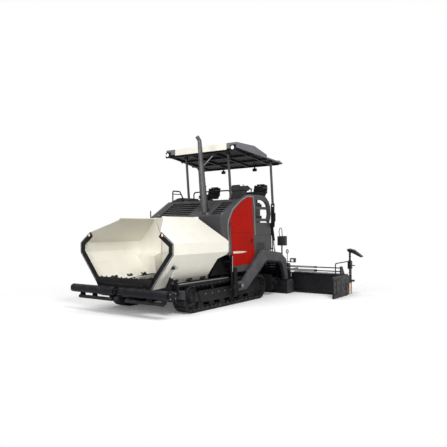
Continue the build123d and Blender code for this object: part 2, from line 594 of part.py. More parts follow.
GRILLE_CUT = [(GRILLE_LOW_Y, slope_z(GRILLE_LOW_Y) + 60), (GRILLE_LOW_Y, slope_z(GRILLE_LOW_Y) - 60),
              (GRILLE_HIGH_Y, slope_z(GRILLE_HIGH_Y) - 60), (GRILLE_HIGH_Y, slope_z(GRILLE_HIGH_Y) + 60)]
for grille_x0, grille_x1 in GRILLES:
    hood = hood - prism_x(GRILLE_CUT, grille_x0, grille_x1)
EXHAUST_X = 480.0
EXHAUST_FOOT_Y = -790.0
EXHAUST_FOOT_Z = 2190.0
EXHAUST_FOOT_RADIUS = 84.0
louvres = []
LOUVRES = 6
for grille_x0, grille_x1 in GRILLES:
    for index in range(LOUVRES):
        slat_y = GRILLE_LOW_Y + (GRILLE_HIGH_Y - GRILLE_LOW_Y) * (index + 0.5) / LOUVRES
        slat_z = slope_z(slat_y)
        louvres.append(prism_x([(slat_y - 45, slat_z - 32), (slat_y + 38, slat_z + 6),
                                (slat_y + 45, slat_z - 6), (slat_y - 38, slat_z - 44)],
                               grille_x0, grille_x1))
keep("hood_grilles", fused(louvres))

# engine with its radiator, one block inside the hood
keep("engine_block", block(-520, 520, -700, 450, TUNNEL_TOP_Z, 2000))

# ---- platform -----------------------------------------------------------------------------

STAIR_X = 800.0          # inner side of the stair wells at the rear corners
STAIR_Y = 480.0          # front of the stair wells
STAIR_Z = 1950.0         # their floor
deck = block(-STAIR_X, STAIR_X, STAIR_Y, DECK_REAR_Y, DECK_Z - 30, DECK_Z)
deck_front = block(-SIDE_IN_X, SIDE_IN_X, STAIR_Y - 30, STAIR_Y, TUNNEL_TOP_Z,
                   DECK_Z + 20 - HOOD_WALL)
deck_rear = block(-STAIR_X, STAIR_X, DECK_REAR_Y - 30, DECK_REAR_Y, TUNNEL_TOP_Z, DECK_Z - 30)
well_floor = block(STAIR_X - 20, SIDE_IN_X, STAIR_Y, DECK_REAR_Y, STAIR_Z - 20, STAIR_Z)
well_rear = block(STAIR_X, SIDE_IN_X, DECK_REAR_Y - 30, DECK_REAR_Y, TUNNEL_TOP_Z + 200, STAIR_Z - 20)
well_side = block(STAIR_X - 20, STAIR_X, STAIR_Y, DECK_REAR_Y - 30, STAIR_Z, DECK_Z - 30)
keep("platform_deck", fused([deck, deck_front, deck_rear] + [both_sides(piece) for piece in
                            (well_floor, well_rear, well_side)]))

# ---- exhaust ------------------------------------------------------------------------------

EXHAUST_FOOT = (EXHAUST_X, EXHAUST_FOOT_Y, EXHAUST_FOOT_Z)
EXHAUST_TOP = (EXHAUST_X, EXHAUST_FOOT_Y - 200, 3910.0)
EXHAUST_TIP = (EXHAUST_X - 30, EXHAUST_FOOT_Y - 260, 4010.0)
foot = Vector(*EXHAUST_FOOT)
top = Vector(*EXHAUST_TOP)
pipe = Solid.make_cone(EXHAUST_FOOT_RADIUS, 48, (top - foot).length, Plane(origin=foot, z_dir=(top - foot)))
tip = rod(EXHAUST_TOP, EXHAUST_TIP, 46)
bend = Pos(*EXHAUST_TOP) * Solid.make_sphere(48)
stub = rod((EXHAUST_X, EXHAUST_FOOT_Y, 2000), EXHAUST_FOOT, 50)
keep("exhaust", pipe + bend + tip + stub)
keep("hood", hood - NODES["exhaust"])

# ---- roof ---------------------------------------------------------------------------------

ROOF_SLOPE = (ROOF_REAR_Z - ROOF_FRONT_Z) / (ROOF_REAR_Y - ROOF_FRONT_Y)


def roof_z(y):
    """Height of the roof's underside at a place along the machine."""
    return ROOF_FRONT_Z + (y - ROOF_FRONT_Y) * ROOF_SLOPE


roof_profile = [(ROOF_FRONT_Y, ROOF_FRONT_Z), (ROOF_REAR_Y, ROOF_REAR_Z),
                (ROOF_REAR_Y, ROOF_REAR_Z + ROOF_THICK), (ROOF_FRONT_Y, ROOF_FRONT_Z + ROOF_THICK)]
roof_plan = [(-ROOF_FRONT_X, ROOF_FRONT_Y), (ROOF_FRONT_X, ROOF_FRONT_Y), (ROOF_REAR_X, ROOF_REAR_Y),
             (-ROOF_REAR_X, ROOF_REAR_Y)]
roof = prism_x(roof_profile, -ROOF_REAR_X, ROOF_REAR_X) & prism_z(roof_plan, 3000, 4000)
roof_slab = roof
# raised boxes along the side edges, with the front lamps in their noses
BOX_IN_X = 830.0
side_box = prism_x([(ROOF_FRONT_Y - 20, roof_z(ROOF_FRONT_Y) + 10), (ROOF_FRONT_Y - 20, ROOF_BOX_TOP_Z),
                    (350, ROOF_BOX_TOP_Z - 10), (900, roof_z(900) + 120), (900, roof_z(900) + 10)],
                   BOX_IN_X, ROOF_REAR_X)
box_plan = [(BOX_IN_X, ROOF_FRONT_Y - 20), (ROOF_FRONT_X, ROOF_FRONT_Y - 20), (ROOF_FRONT_X + 100, 900),
            (BOX_IN_X + 100, 900)]
side_box = side_box & prism_z(box_plan, 3000, 4000)
roof = roof + both_sides(side_box)
LAMP_X = 1043.0
LAMP_RADIUS = 55.0
lamp = rod((LAMP_X, ROOF_FRONT_Y - 75, ROOF_FRONT_Z + 15), (LAMP_X, ROOF_FRONT_Y, ROOF_FRONT_Z + 15),
           LAMP_RADIUS)
lamp_house = block(LAMP_X - 75, LAMP_X + 75, ROOF_FRONT_Y - 60, ROOF_FRONT_Y - 20, ROOF_FRONT_Z - 60,
                   ROOF_FRONT_Z + 90)
panel_line = [(ROOF_FRONT_Y - 20, ROOF_FRONT_Z - 10), (ROOF_FRONT_Y - 20, ROOF_BOX_TOP_Z + 10),
              (ROOF_FRONT_Y + 90, ROOF_BOX_TOP_Z + 15), (ROOF_FRONT_Y + 260, roof_z(ROOF_FRONT_Y + 260)
               + ROOF_THICK), (ROOF_FRONT_Y, ROOF_FRONT_Z + ROOF_THICK), (ROOF_FRONT_Y, ROOF_FRONT_Z - 10)]
keep("roof_panel", prism_x(panel_line, -BOX_IN_X + 2, BOX_IN_X - 2) - roof_slab)

LUG_THICK = 12.0
POST_EYE = 34.0
PIN_RADIUS = 14.0
EYE_HALF = 30.0
lean_y = -POST_LENGTH * sin(radians(POST_LEAN))
lean_z = POST_RISE


def post(x, foot_y, foot_z):
    """Roof post with a round eye at each end."""
    bar = rod((x, foot_y, foot_z), (x, foot_y + lean_y, foot_z + lean_z), POST_RADIUS)
    for eye_y, eye_z in ((foot_y, foot_z), (foot_y + lean_y, foot_z + lean_z)):
        bar = bar - rod_x(x - 60, x + 60, eye_y, eye_z, POST_EYE)
        bar = bar + ring_x(x - EYE_HALF, x + EYE_HALF, eye_y, eye_z, POST_EYE + 1,
                           PIN_RADIUS + RUN_GAP)
    return bar


def clevis(x, y, z, end_z):
    """Two lugs and a pin round a post's eye, reaching up or down to end_z."""
    low, high = sorted((end_z, z))
    half = EYE_HALF + 3
    ears = fused([block(x + side * half + min(side, 0) * LUG_THICK, x + side * half +
                        max(side, 0) * LUG_THICK, y - 24, y + 24, low, high) +
                  rod_x(x + side * half + min(side, 0) * LUG_THICK, x + side * half +
                        max(side, 0) * LUG_THICK, y, z, 24) for side in (-1, 1)])
    return ears + rod_x(x - half - LUG_THICK, x + half + LUG_THICK, y, z, PIN_RADIUS)


for post_x, (foot_y, foot_z) in ((FRONT_POST_X, FRONT_POST_FOOT), (REAR_POST_X, REAR_POST_FOOT)):
    top_y = foot_y + lean_y
    roof = roof + both_sides(clevis(post_x, top_y, foot_z + lean_z, roof_z(top_y) + 10))
keep("roof_canopy", roof + both_sides(lamp_house) + both_sides(lamp))
keep("roof_posts_front", both_sides(post(FRONT_POST_X, *FRONT_POST_FOOT)))
keep("roof_posts_rear", both_sides(post(REAR_POST_X, *REAR_POST_FOOT)))

# ---- railings and stairs ------------------------------------------------------------------

RAIL = 17.0
HOOD_TOP_Z = DECK_Z + 20
GUARD_TOP_Z = HOOD_TOP_Z + 260
FAR_TOP_Z = HOOD_TOP_Z + 300
guard = bent_tube([(-590, 120, HOOD_TOP_Z), (-590, 120, GUARD_TOP_Z), (590, 120, GUARD_TOP_Z),
                   (590, 120, HOOD_TOP_Z)], RAIL, 70)
far_rail = bent_tube([(-1000, -270, HOOD_TOP_Z), (-1000, -270, FAR_TOP_Z), (-1000, 20, FAR_TOP_Z),
                      (-1000, 150, FAR_TOP_Z - 180), (-1000, 150, HOOD_TOP_Z)], RAIL, 50)
far_bar = rod((-1000, -270, 2740), (-1000, 60, 2740), 12)
sight_rod = rod((-1105, HOOD_FOOT_Y - 14, 1900), (-1105, HOOD_FOOT_Y - 14, 2270), 14)
post_feet = []
for foot_y, foot_z, foot_x, base_z in ((FRONT_POST_FOOT[0], FRONT_POST_FOOT[1], FRONT_POST_X,
                                        HOOD_TOP_Z),
                                       (REAR_POST_FOOT[0], REAR_POST_FOOT[1], REAR_POST_X, 2380)):
    post_feet.append(both_sides(clevis(foot_x, foot_y, foot_z, base_z)))
rear_stub = block(REAR_POST_X - 45, REAR_POST_X + 45, REAR_POST_FOOT[0] - 30,
                  REAR_POST_FOOT[0] + 15, 1830, 2380)
rear_link = block(BODY_X, REAR_POST_X - 44, REAR_POST_FOOT[0] - 30, REAR_POST_FOOT[0] + 15, 1850,
                  1940)
keep("railings", fused([guard, far_rail + far_bar, sight_rod] + post_feet +
                       [both_sides(rear_stub + rear_link)]))

# arched side rail of each stair, with its treads
STEP_THICK = 70.0
RAIL_WIDE = 125.0
RAIL_OUT_X = BODY_X - 5
RAIL_IN_X = BODY_X - 65
ARCH_LINE = [(STAIR_Y + 1, 2662), (620, 2668), (860, 2660), (1020, 2615), (1150, 2520), (1230, 2380),
             (1255, 2180), (1225, 2060), (1170, STAIR_Z)]
arch = prism_x(strip(ARCH_LINE, -RAIL_WIDE), RAIL_IN_X, RAIL_OUT_X)
arch = arch & block(0, 2000, STAIR_Y, 1300, STAIR_Z, 2700)
treads = []
for tread_z in (2060.0, 2365.0):
    treads.append(block(STAIR_X, RAIL_OUT_X, STAIR_Y + 60, STAIR_Y + 420, tread_z - STEP_THICK,
                        tread_z))
    treads.append(block(RAIL_IN_X, RAIL_OUT_X, STAIR_Y, 1150, tread_z - STEP_THICK, tread_z))
keep("access_steps", both_sides(fused([arch] + treads)))

# ---- console and seats --------------------------------------------------------------------

SEAT_X = 780.0
SEAT_Y = 1040.0
CONSOLE_X = 535.0
CONSOLE_HALF = 245.0
CONSOLE_Y = 560.0        # front of the console, behind the folded front posts
cabinet = block(CONSOLE_X - CONSOLE_HALF + 35, CONSOLE_X + CONSOLE_HALF - 35, CONSOLE_Y + 20,
                CONSOLE_Y + 125, DECK_Z, 2840)
panel = prism_x([(CONSOLE_Y, 2800), (CONSOLE_Y, 2885), (CONSOLE_Y + 50, 2922), (CONSOLE_Y + 120, 2932),
                 (CONSOLE_Y + 235, 2880), (CONSOLE_Y + 235, 2850), (CONSOLE_Y + 140, 2790)],
                CONSOLE_X - CONSOLE_HALF, CONSOLE_X + CONSOLE_HALF)
PEDESTAL_TOP = DECK_Z + 140
pedestals = both_sides(block(SEAT_X - 90, SEAT_X + 90, SEAT_Y - 90, SEAT_Y + 90, DECK_Z, PEDESTAL_TOP)
                       & block(0, STAIR_X, 0, 2000, 0, 4000))
keep("console", fused([cabinet + panel, pedestals]))
seat = block(SEAT_X - 240, SEAT_X + 240, SEAT_Y - 240, SEAT_Y + 240, PEDESTAL_TOP + 30 + RUN_GAP,
             PEDESTAL_TOP + 130)
back_rest = prism_x([(SEAT_Y + 150, PEDESTAL_TOP + 100), (SEAT_Y + 240, PEDESTAL_TOP + 100),
                     (SEAT_Y + 330, PEDESTAL_TOP + 360), (SEAT_Y + 230, PEDESTAL_TOP + 360)], SEAT_X - 210, SEAT_X + 210)
seat = fillet(seat.edges().filter_by(Axis.Z), 50) + back_rest
keep_pair("seat", seat)
swivel = rod((SEAT_X, SEAT_Y, PEDESTAL_TOP + RUN_GAP), (SEAT_X, SEAT_Y, PEDESTAL_TOP + 30), 70)
arms = [block(SEAT_X - 200, SEAT_X + 200, SEAT_Y - 200, SEAT_Y + 200, PEDESTAL_TOP + 12,
              PEDESTAL_TOP + 30)]
keep_pair("seat_frame", fused([swivel] + arms))

# ---- tow points, tow arms and screed ------------------------------------------------------

TOW_PIN = 30.0
CHEEK = 22.0
tow_back = block(TOW_X_IN - CHEEK, TOW_X_OUT + CHEEK, GUIDE_Y1 + RUN_GAP, GUIDE_Y1 + 35, TOW_PIVOT_Z - 55,
                 TOW_PIVOT_Z + 55)
cheek_in = block(TOW_X_IN - CHEEK - 5, TOW_X_IN - 5, GUIDE_Y1 + 5, TOW_PIVOT_Y + 45,
                 TOW_PIVOT_Z - 45, TOW_PIVOT_Z + 45)
cheek_out = block(TOW_X_OUT + 5, TOW_X_OUT + 5 + CHEEK, LEVEL_Y - 25, TOW_PIVOT_Y + 45,
                  TOW_PIVOT_Z - 45, TOW_PIVOT_Z + 45)
level_lug = block(LEVEL_X - 25, TOW_X_OUT + 6, LEVEL_Y - 25, LEVEL_Y + 25, TOW_PIVOT_Z - 45,
                  TOW_PIVOT_Z - 5)
level_rod = rod((LEVEL_X, LEVEL_Y, TOW_PIVOT_Z - 20), (LEVEL_X, LEVEL_Y, 850), LEVEL_ROD)
tow_pin = rod_x(TOW_X_IN - CHEEK - 5, TOW_X_OUT + CHEEK + 5, TOW_PIVOT_Y, TOW_PIVOT_Z, TOW_PIN)
keep("tow_points", both_sides(fused([tow_back, cheek_in, cheek_out, level_lug, level_rod, tow_pin])))

SCREED_REAR_Y = SCREED_FRONT_Y + SCREED_DEPTH
SCREED_TOP_Z = SCREED_FLOOR_Z + SCREED_HEIGHT
TOW_FRONT_Y = TOW_PIVOT_Y - 130
# side view of a tow arm as (y, z): nose, elbow, then down to its foot on the screed
TOW_LINE = [(TOW_FRONT_Y, 335), (TOW_FRONT_Y, 545), (-290, 545), (640, 1250), (1560, 1150),
            (1870, 960), (1990, SCREED_TOP_Z), (SCREED_FRONT_Y, SCREED_TOP_Z), (1690, 790),
            (1560, 920), (800, 985), (-150, 335)]
arm = prism_x(TOW_LINE, TOW_X_IN, TOW_X_OUT)
arm = arm - rod_x(TOW_X_IN - 1, TOW_X_OUT + 1, TOW_PIVOT_Y, TOW_PIVOT_Z, TOW_PIN + RUN_GAP)
LIFT_EYE_Y = 1560.0
LIFT_EYE_Z = 1040.0
LIFT_X = 1090.0
arm = arm + rod_x(LIFT_X + 45, TOW_X_IN, LIFT_EYE_Y, LIFT_EYE_Z, 28)
keep("tow_arms", both_sides(arm))

# main screed: a box on a sole plate, with a chamfered tamper edge in front
screed = prism_x([(SCREED_FRONT_Y, 60), (SCREED_FRONT_Y + 40, SCREED_FLOOR_Z),
                  (SCREED_REAR_Y, SCREED_FLOOR_Z), (SCREED_REAR_Y, SCREED_TOP_Z - 80),
                  (SCREED_REAR_Y - 60, SCREED_TOP_Z), (SCREED_FRONT_Y, SCREED_TOP_Z)],
                 -SCREED_HALF_X, SCREED_HALF_X)
# sleeves that guide the extensions, and the cylinders above them, as (y, z, outer, bore)
SLEEVE_END_X = 1225.0
SLEEVES = [(2150.0, 650.0, 46.0, 33.0), (2150.0, 742.0, 42.0, 26.0)]
TUBE_END_X = 2030.0
TUBE_ROD = 15.0          # thin rods that run on from the tubes to the plates at the outer ends
for sleeve_y, sleeve_z, outer, bore in SLEEVES:
    sleeve = ring_x(-SLEEVE_END_X, SLEEVE_END_X, sleeve_y, sleeve_z, outer, bore)
    screed = screed + sleeve + rod_x(-12, 12, sleeve_y, sleeve_z, outer)
for rib_x in (-1080.0, -560.0, 0.0, 560.0, 1080.0):
    rib = prism_x([(1950, SCREED_TOP_Z - 1), (2240, SCREED_TOP_Z - 80), (2210, 690), (2120, 800),
                   (1990, 800)], rib_x - 15, rib_x + 15)
    for sleeve_y, sleeve_z, outer, bore in SLEEVES:
        rib = rib - rod_x(rib_x - 20, rib_x + 20, sleeve_y, sleeve_z, outer - 2)
    screed = screed + rib
keep("screed_main", screed)

# controls on the main screed: a box on a pole, a sensor ring on a rod and a work lamp
pole = rod((1040, 2010, 800), (1040, 2010, 1350), 20)
pole_foot = block(1000, 1095, 1985, 2035, 760, 800)
control_box = block(925, 1165, 1960, 2080, 1320, 1580)
SLEEVE_TOP_Z = 780.0
RING_X = 1140.0
RING_Z = 1150.0
lamp_rod = rod((RING_X, 2140, SLEEVE_TOP_Z + 20), (RING_X, 2140, RING_Z - 50), 9)
lamp_ring = ring_x(RING_X - 10, RING_X + 10, 2140, RING_Z, 60, 42)
lamp_foot = block(RING_X - 15, 1215, 2125, 2165, SLEEVE_TOP_Z, SLEEVE_TOP_Z + 45)
lamp_box = block(1250, 1390, 2090, 2180, 850, 960)
lamp_arm = block(RING_X - 5, 1300, 2130, 2150, 860, 880)
keep("screed_controls", fused([pole, pole_foot, control_box, lamp_rod, lamp_ring, lamp_foot, lamp_box,
                               lamp_arm]) - NODES["screed_main"])

# extensions, slid right out
EXTENSION_Y = SCREED_REAR_Y + SCREED_GAP
EXTENSION_REAR_Y = EXTENSION_Y + EXTENSION_DEPTH
extension = prism_x([(EXTENSION_Y, 60), (EXTENSION_Y + 40, SCREED_FLOOR_Z),
                     (EXTENSION_REAR_Y, SCREED_FLOOR_Z), (EXTENSION_REAR_Y, EXTENSION_TOP_Z - 160),
                     (EXTENSION_REAR_Y - 120, EXTENSION_TOP_Z), (EXTENSION_Y, EXTENSION_TOP_Z)],
                    EXTENSION_IN_X, EXTENSION_OUT_X)
BOARD_Z = 300.0
BOARD_THICK = 20.0
BOARD_REAR_Y = WALKWAY_REAR_Y - 60
extension = extension + block(EXTENSION_IN_X, EXTENSION_OUT_X - 30, EXTENSION_REAR_Y - 20,
                              BOARD_REAR_Y, BOARD_Z, BOARD_Z + BOARD_THICK)
extension = extension + prism_x([(EXTENSION_REAR_Y - 5, 180), (3000, BOARD_Z + 5),
                                 (EXTENSION_REAR_Y - 5, BOARD_Z + 5)],
                                EXTENSION_OUT_X - 60, EXTENSION_OUT_X - 40)
# plates that hold the outer ends of the guide tubes, and the tubes themselves
tube_y, tube_z = SLEEVES[0][:2]
top_z = SLEEVES[1][1]
TUBE_PLATE = 30.0
extension = extension + prism_x([(tube_y - 55, top_z + 45), (tube_y + 55, top_z + 45),
                                 (EXTENSION_Y + 120, EXTENSION_TOP_Z - 20),
                                 (EXTENSION_Y + 5, EXTENSION_TOP_Z - 60), (EXTENSION_Y - 5, 480),
                                 (tube_y - 20, 560), (tube_y - 55, tube_z - 20)],
                                EXTENSION_OUT_X - TUBE_PLATE, EXTENSION_OUT_X)
for sleeve_y, sleeve_z, outer, bore in SLEEVES:
    extension = extension + rod_x(SLEEVE_END_X - 10, TUBE_END_X, sleeve_y, sleeve_z, bore - RUN_GAP)
    extension = extension + rod_x(TUBE_END_X - 10, EXTENSION_OUT_X - 5, sleeve_y, sleeve_z, TUBE_ROD)
RAIL_RISE = 14.0
RAIL_RADIUS = 16.0
extension = extension + rod_x(EXTENSION_IN_X + 20, EXTENSION_OUT_X, EXTENSION_Y + 25,
                              EXTENSION_TOP_Z + RAIL_RISE, RAIL_RADIUS)
GATE_X = EXTENSION_OUT_X + 10
for runner_y in (EXTENSION_Y + 20, EXTENSION_Y + 130):
    extension = extension + block(EXTENSION_OUT_X, GATE_X - RUN_GAP, runner_y, runner_y + 50, 60, 500)
keep_pair("screed_extension", extension)

# walkway behind the screed, hung on arms that arch over the extensions when they are run in
WALK_Z = 420.0
WALK_HALF_X = SCREED_HALF_X - 15
WALK_FRONT_Y = EXTENSION_REAR_Y + 30
ARM_LOW_Z = EXTENSION_TOP_Z + RAIL_RISE + RAIL_RADIUS + 20
ARM_TOP_Z = ARM_LOW_Z + 50
ARM_FRONT_Y = SCREED_REAR_Y - 50
walk = block(-WALK_HALF_X, WALK_HALF_X, WALK_FRONT_Y, WALKWAY_REAR_Y, WALK_Z, WALK_Z + 25)
for arm_x in (110 - WALK_HALF_X, -400.0, 400.0, WALK_HALF_X - 110):
    walk = walk + block(arm_x - 20, arm_x + 20, ARM_FRONT_Y, SCREED_REAR_Y - 10, SCREED_TOP_Z - 80,
                        ARM_TOP_Z)
    walk = walk + block(arm_x - 20, arm_x + 20, ARM_FRONT_Y, WALK_FRONT_Y + 40, ARM_LOW_Z, ARM_TOP_Z)
    walk = walk + block(arm_x - 20, arm_x + 20, WALK_FRONT_Y - 10, WALK_FRONT_Y + 40, WALK_Z, ARM_TOP_Z)
keep("screed_walkway", walk - NODES["screed_main"])

# end gates: a side plate on the end of each extension, with its rail and crank column
GATE_FRONT_Y = 1500.0
GATE_REAR_Y = 2470.0
COLUMN_Y = 2660.0
gate = prism_x([(GATE_FRONT_Y, SCREED_FLOOR_Z), (GATE_FRONT_Y, 530), (GATE_FRONT_Y + 60, 550),
                (GATE_REAR_Y, 570), (GATE_REAR_Y, 60), (GATE_REAR_Y - 60, SCREED_FLOOR_Z)],
               GATE_X, GATE_X + GATE_THICK)
gate_mid_x = GATE_X + GATE_THICK / 2
gate_rail = bent_tube([(gate_mid_x, GATE_FRONT_Y + 170, 545), (gate_mid_x, GATE_FRONT_Y + 170, 890),
                       (gate_mid_x, COLUMN_Y, 900), (gate_mid_x, COLUMN_Y, 700)], 14, 50)
column = rod((gate_mid_x, COLUMN_Y, 300), (gate_mid_x, COLUMN_Y, 1160), 26)
column_foot = block(GATE_X, GATE_X + GATE_THICK, GATE_REAR_Y - 30, COLUMN_Y + 50, 320, 520)
crank = block(gate_mid_x - 45, gate_mid_x + 45, COLUMN_Y - 60, COLUMN_Y + 60, 690, 900)
console_head = prism_y([(gate_mid_x - 50, 1180), (gate_mid_x, 1140), (gate_mid_x + 110, 1115),
                        (gate_mid_x + 330, 1010), (gate_mid_x + 345, 1040),
                        (gate_mid_x + 120, 1205), (gate_mid_x, 1240)], COLUMN_Y - 80, COLUMN_Y + 80)
side_plate_low = block(GATE_X + GATE_THICK, GATE_X + 50, GATE_REAR_Y - 140, GATE_REAR_Y - 20, 40, 250)
hang_rod = rod((GATE_X + 60, COLUMN_Y, 20), (GATE_X + 60, COLUMN_Y, 720), 7)
keep_pair("end_gate", fused([gate, gate_rail, column, column_foot, crank, console_head,
                             side_plate_low, hang_rod]))

# ---- screed lift cylinders ----------------------------------------------------------------

LIFT_TOP_Y = 1360.0
LIFT_TOP_Z = 1900.0
lift_run = Vector(0, LIFT_EYE_Y - LIFT_TOP_Y, LIFT_EYE_Z - LIFT_TOP_Z)
lift_way = lift_run.normalized()
lift_top = Vector(LIFT_X, LIFT_TOP_Y, LIFT_TOP_Z)
LIFT_BARREL = 38.0
LIFT_ROD = 22.0
LIFT_BARREL_LENGTH = 440.0


def lift_at(distance):
    """Point on the left lift cylinder's line."""
    spot = lift_top + lift_way * distance
    return spot.X, spot.Y, spot.Z


LIFT_BORE_START = 60.0
lift_barrel = rod(lift_at(38), lift_at(LIFT_BARREL_LENGTH), LIFT_BARREL)
lift_barrel = lift_barrel - rod(lift_at(LIFT_BORE_START), lift_at(LIFT_BARREL_LENGTH + 10),
                                LIFT_ROD + RUN_GAP)
lift_eye = rod_x(LIFT_X - 30, LIFT_X + 30, LIFT_TOP_Y, LIFT_TOP_Z, 45)
LIFT_PIN = 20.0
lift_barrel = (lift_barrel + lift_eye) - rod_x(LIFT_X - 40, LIFT_X + 40, LIFT_TOP_Y, LIFT_TOP_Z,
                                               LIFT_PIN + RUN_GAP)
keep("lift_cylinders", both_sides(lift_barrel))
LIFT_STROKE = 346.0
lift_rod = rod(lift_at(LIFT_BORE_START + LIFT_STROKE + 6), lift_at(lift_run.length - 20), LIFT_ROD)
lift_rod = lift_rod + rod_x(LIFT_X - 28, LIFT_X + 35, LIFT_EYE_Y, LIFT_EYE_Z, 40)
keep("lift_rods", both_sides(lift_rod))
lift_bracket = fused([prism_x([(DECK_REAR_Y, 1820), (DECK_REAR_Y, 1980),
                               (LIFT_TOP_Y, 1940), (LIFT_TOP_Y + 40, 1900), (LIFT_TOP_Y, 1860)],
                              ear_x - 8, ear_x + 8) for ear_x in (LIFT_X - 52, LIFT_X + 52)])
lift_bracket = lift_bracket + rod_x(LIFT_X - 58, LIFT_X + 58, LIFT_TOP_Y, LIFT_TOP_Z, LIFT_PIN)
lift_bracket = lift_bracket - block(STAIR_X, BODY_X, 0, DECK_REAR_Y, 0, 4000)
NODES["platform_deck"] = NODES["platform_deck"] + both_sides(lift_bracket)

# ---- augers -------------------------------------------------------------------------------

FLIGHT_PITCH = 235.0
FLIGHT_THICK = 14.0
FLIGHTS = 4
flight_start = AUGER_IN_X + 20


def flight(x0):
    """One turn of a screw blade about the auger's axis."""
    inner = Helix(FLIGHT_PITCH, FLIGHT_PITCH, AUGER_SHAFT - 5)
    outer = Helix(FLIGHT_PITCH, FLIGHT_PITCH, AUGER_RADIUS)
    surface = Face.make_surface_from_curves(inner.edges()[0], outer.edges()[0])
    blade = thicken(surface, FLIGHT_THICK / 2, both=True)
    return Pos(x0, AUGER_Y, AUGER_Z) * Rot(0, 90, 0) * blade


auger = rod_x(AUGER_IN_X, AUGER_OUT_X, AUGER_Y, AUGER_Z, AUGER_SHAFT)
for index in range(FLIGHTS):
    auger = auger + flight(flight_start + index * FLIGHT_PITCH)
keep_pair("auger", auger)

gear_case = block(-75, 75, AUGER_Y - 90, AUGER_Y + 90, AUGER_Z - 130, 760)
carrier_arm = prism_x([(FRAME_REAR_Y + PLATE, 880), (FRAME_REAR_Y + PLATE, 1060),
                       (FRAME_REAR_Y + 170, 1060), (AUGER_Y + 90, 820), (AUGER_Y + 90, 700),
                       (AUGER_Y - 90, 700)], -75, 75)
carrier_plate = block(-FRAME_OUT_X, FRAME_OUT_X, FRAME_REAR_Y, FRAME_REAR_Y + PLATE, 880, 1060)
baffle = block(-1140, 1140, FRAME_REAR_Y, FRAME_REAR_Y + 20, 120, 560)
baffle = baffle - block(-FRAME_IN_X, FRAME_IN_X, FRAME_REAR_Y - 1, FRAME_REAR_Y + 21,
                        FLOOR_Z - FLOOR_THICK, 561)
outer_ring = ring_x(AUGER_OUT_X - 60, AUGER_OUT_X - 30, AUGER_Y, AUGER_Z, AUGER_SHAFT + 25,
                    AUGER_SHAFT + RUN_GAP)
ring_arm = prism_x([(FRAME_REAR_Y + 20, 500), (AUGER_Y, AUGER_Z + 90), (AUGER_Y, AUGER_Z + 60),
                    (FRAME_REAR_Y + 20, 400)], AUGER_OUT_X - 60, AUGER_OUT_X - 30)
ring_arm = ring_arm - rod_x(0, 2000, AUGER_Y, AUGER_Z, AUGER_SHAFT + 20)
keep("auger_carrier", fused([gear_case, carrier_arm, carrier_plate, baffle,
                             both_sides(outer_ring + ring_arm)]))

for name, shape in NODES.items():
    export_step(shape, "parts/" + name + ".step")
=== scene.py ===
"""Looks of a tracked asphalt paver: finishes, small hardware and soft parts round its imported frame."""
import math

import bmesh
import bpy
from mathutils import Matrix, Vector


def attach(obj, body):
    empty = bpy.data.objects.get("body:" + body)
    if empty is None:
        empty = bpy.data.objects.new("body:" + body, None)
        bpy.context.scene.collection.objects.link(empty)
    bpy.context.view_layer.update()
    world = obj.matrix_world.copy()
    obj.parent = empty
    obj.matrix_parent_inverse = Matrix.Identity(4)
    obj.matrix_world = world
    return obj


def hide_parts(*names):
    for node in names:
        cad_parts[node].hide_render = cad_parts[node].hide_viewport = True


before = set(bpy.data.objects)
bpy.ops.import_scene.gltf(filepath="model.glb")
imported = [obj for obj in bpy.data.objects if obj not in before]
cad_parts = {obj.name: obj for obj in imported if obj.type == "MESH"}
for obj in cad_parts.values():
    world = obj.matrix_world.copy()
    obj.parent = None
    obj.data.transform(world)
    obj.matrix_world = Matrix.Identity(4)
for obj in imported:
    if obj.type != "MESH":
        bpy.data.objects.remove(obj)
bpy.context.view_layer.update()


# ---- shader maths --------------------------------------------------------------------------

class Level:
    """A number that varies over a surface; arithmetic on it adds the maths nodes."""

    def __init__(self, finish, socket):
        self.finish = finish
        self.socket = socket

    def maths(self, operation, first, second=0.0):
        return self.finish.node("ShaderNodeMath", {"operation": operation}, {0: first, 1: second})

    def __add__(self, other):
        return self.maths("ADD", self, other)

    __radd__ = __add__

    def __sub__(self, other):
        return self.maths("SUBTRACT", self, other)

    def __rsub__(self, other):
        return self.maths("SUBTRACT", other, self)

    def __mul__(self, other):
        return self.maths("MULTIPLY", self, other)

    __rmul__ = __mul__

    def __pow__(self, other):
        return self.maths("POWER", self, other)

    def __gt__(self, other):
        return self.maths("GREATER_THAN", self, other)

    def __lt__(self, other):
        return self.maths("LESS_THAN", self, other)

    def absolute(self):
        return self.maths("ABSOLUTE", self)

    def sine(self):
        return self.maths("SINE", self)

    def low(self, other):
        return self.maths("MINIMUM", self, other)

    def high(self, other):
        return self.maths("MAXIMUM", self, other)

    def near(self, middle, reach):
        """1 within a reach of a value, and 0 outside it."""
        return (self - middle).absolute() < reach

    def step(self, start, end):
        """0 before start, 1 after end, and smooth between them."""
        return self.finish.node("ShaderNodeMapRange", {"interpolation_type": "SMOOTHSTEP"},
                                {"Value": self, "From Min": start, "From Max": end})


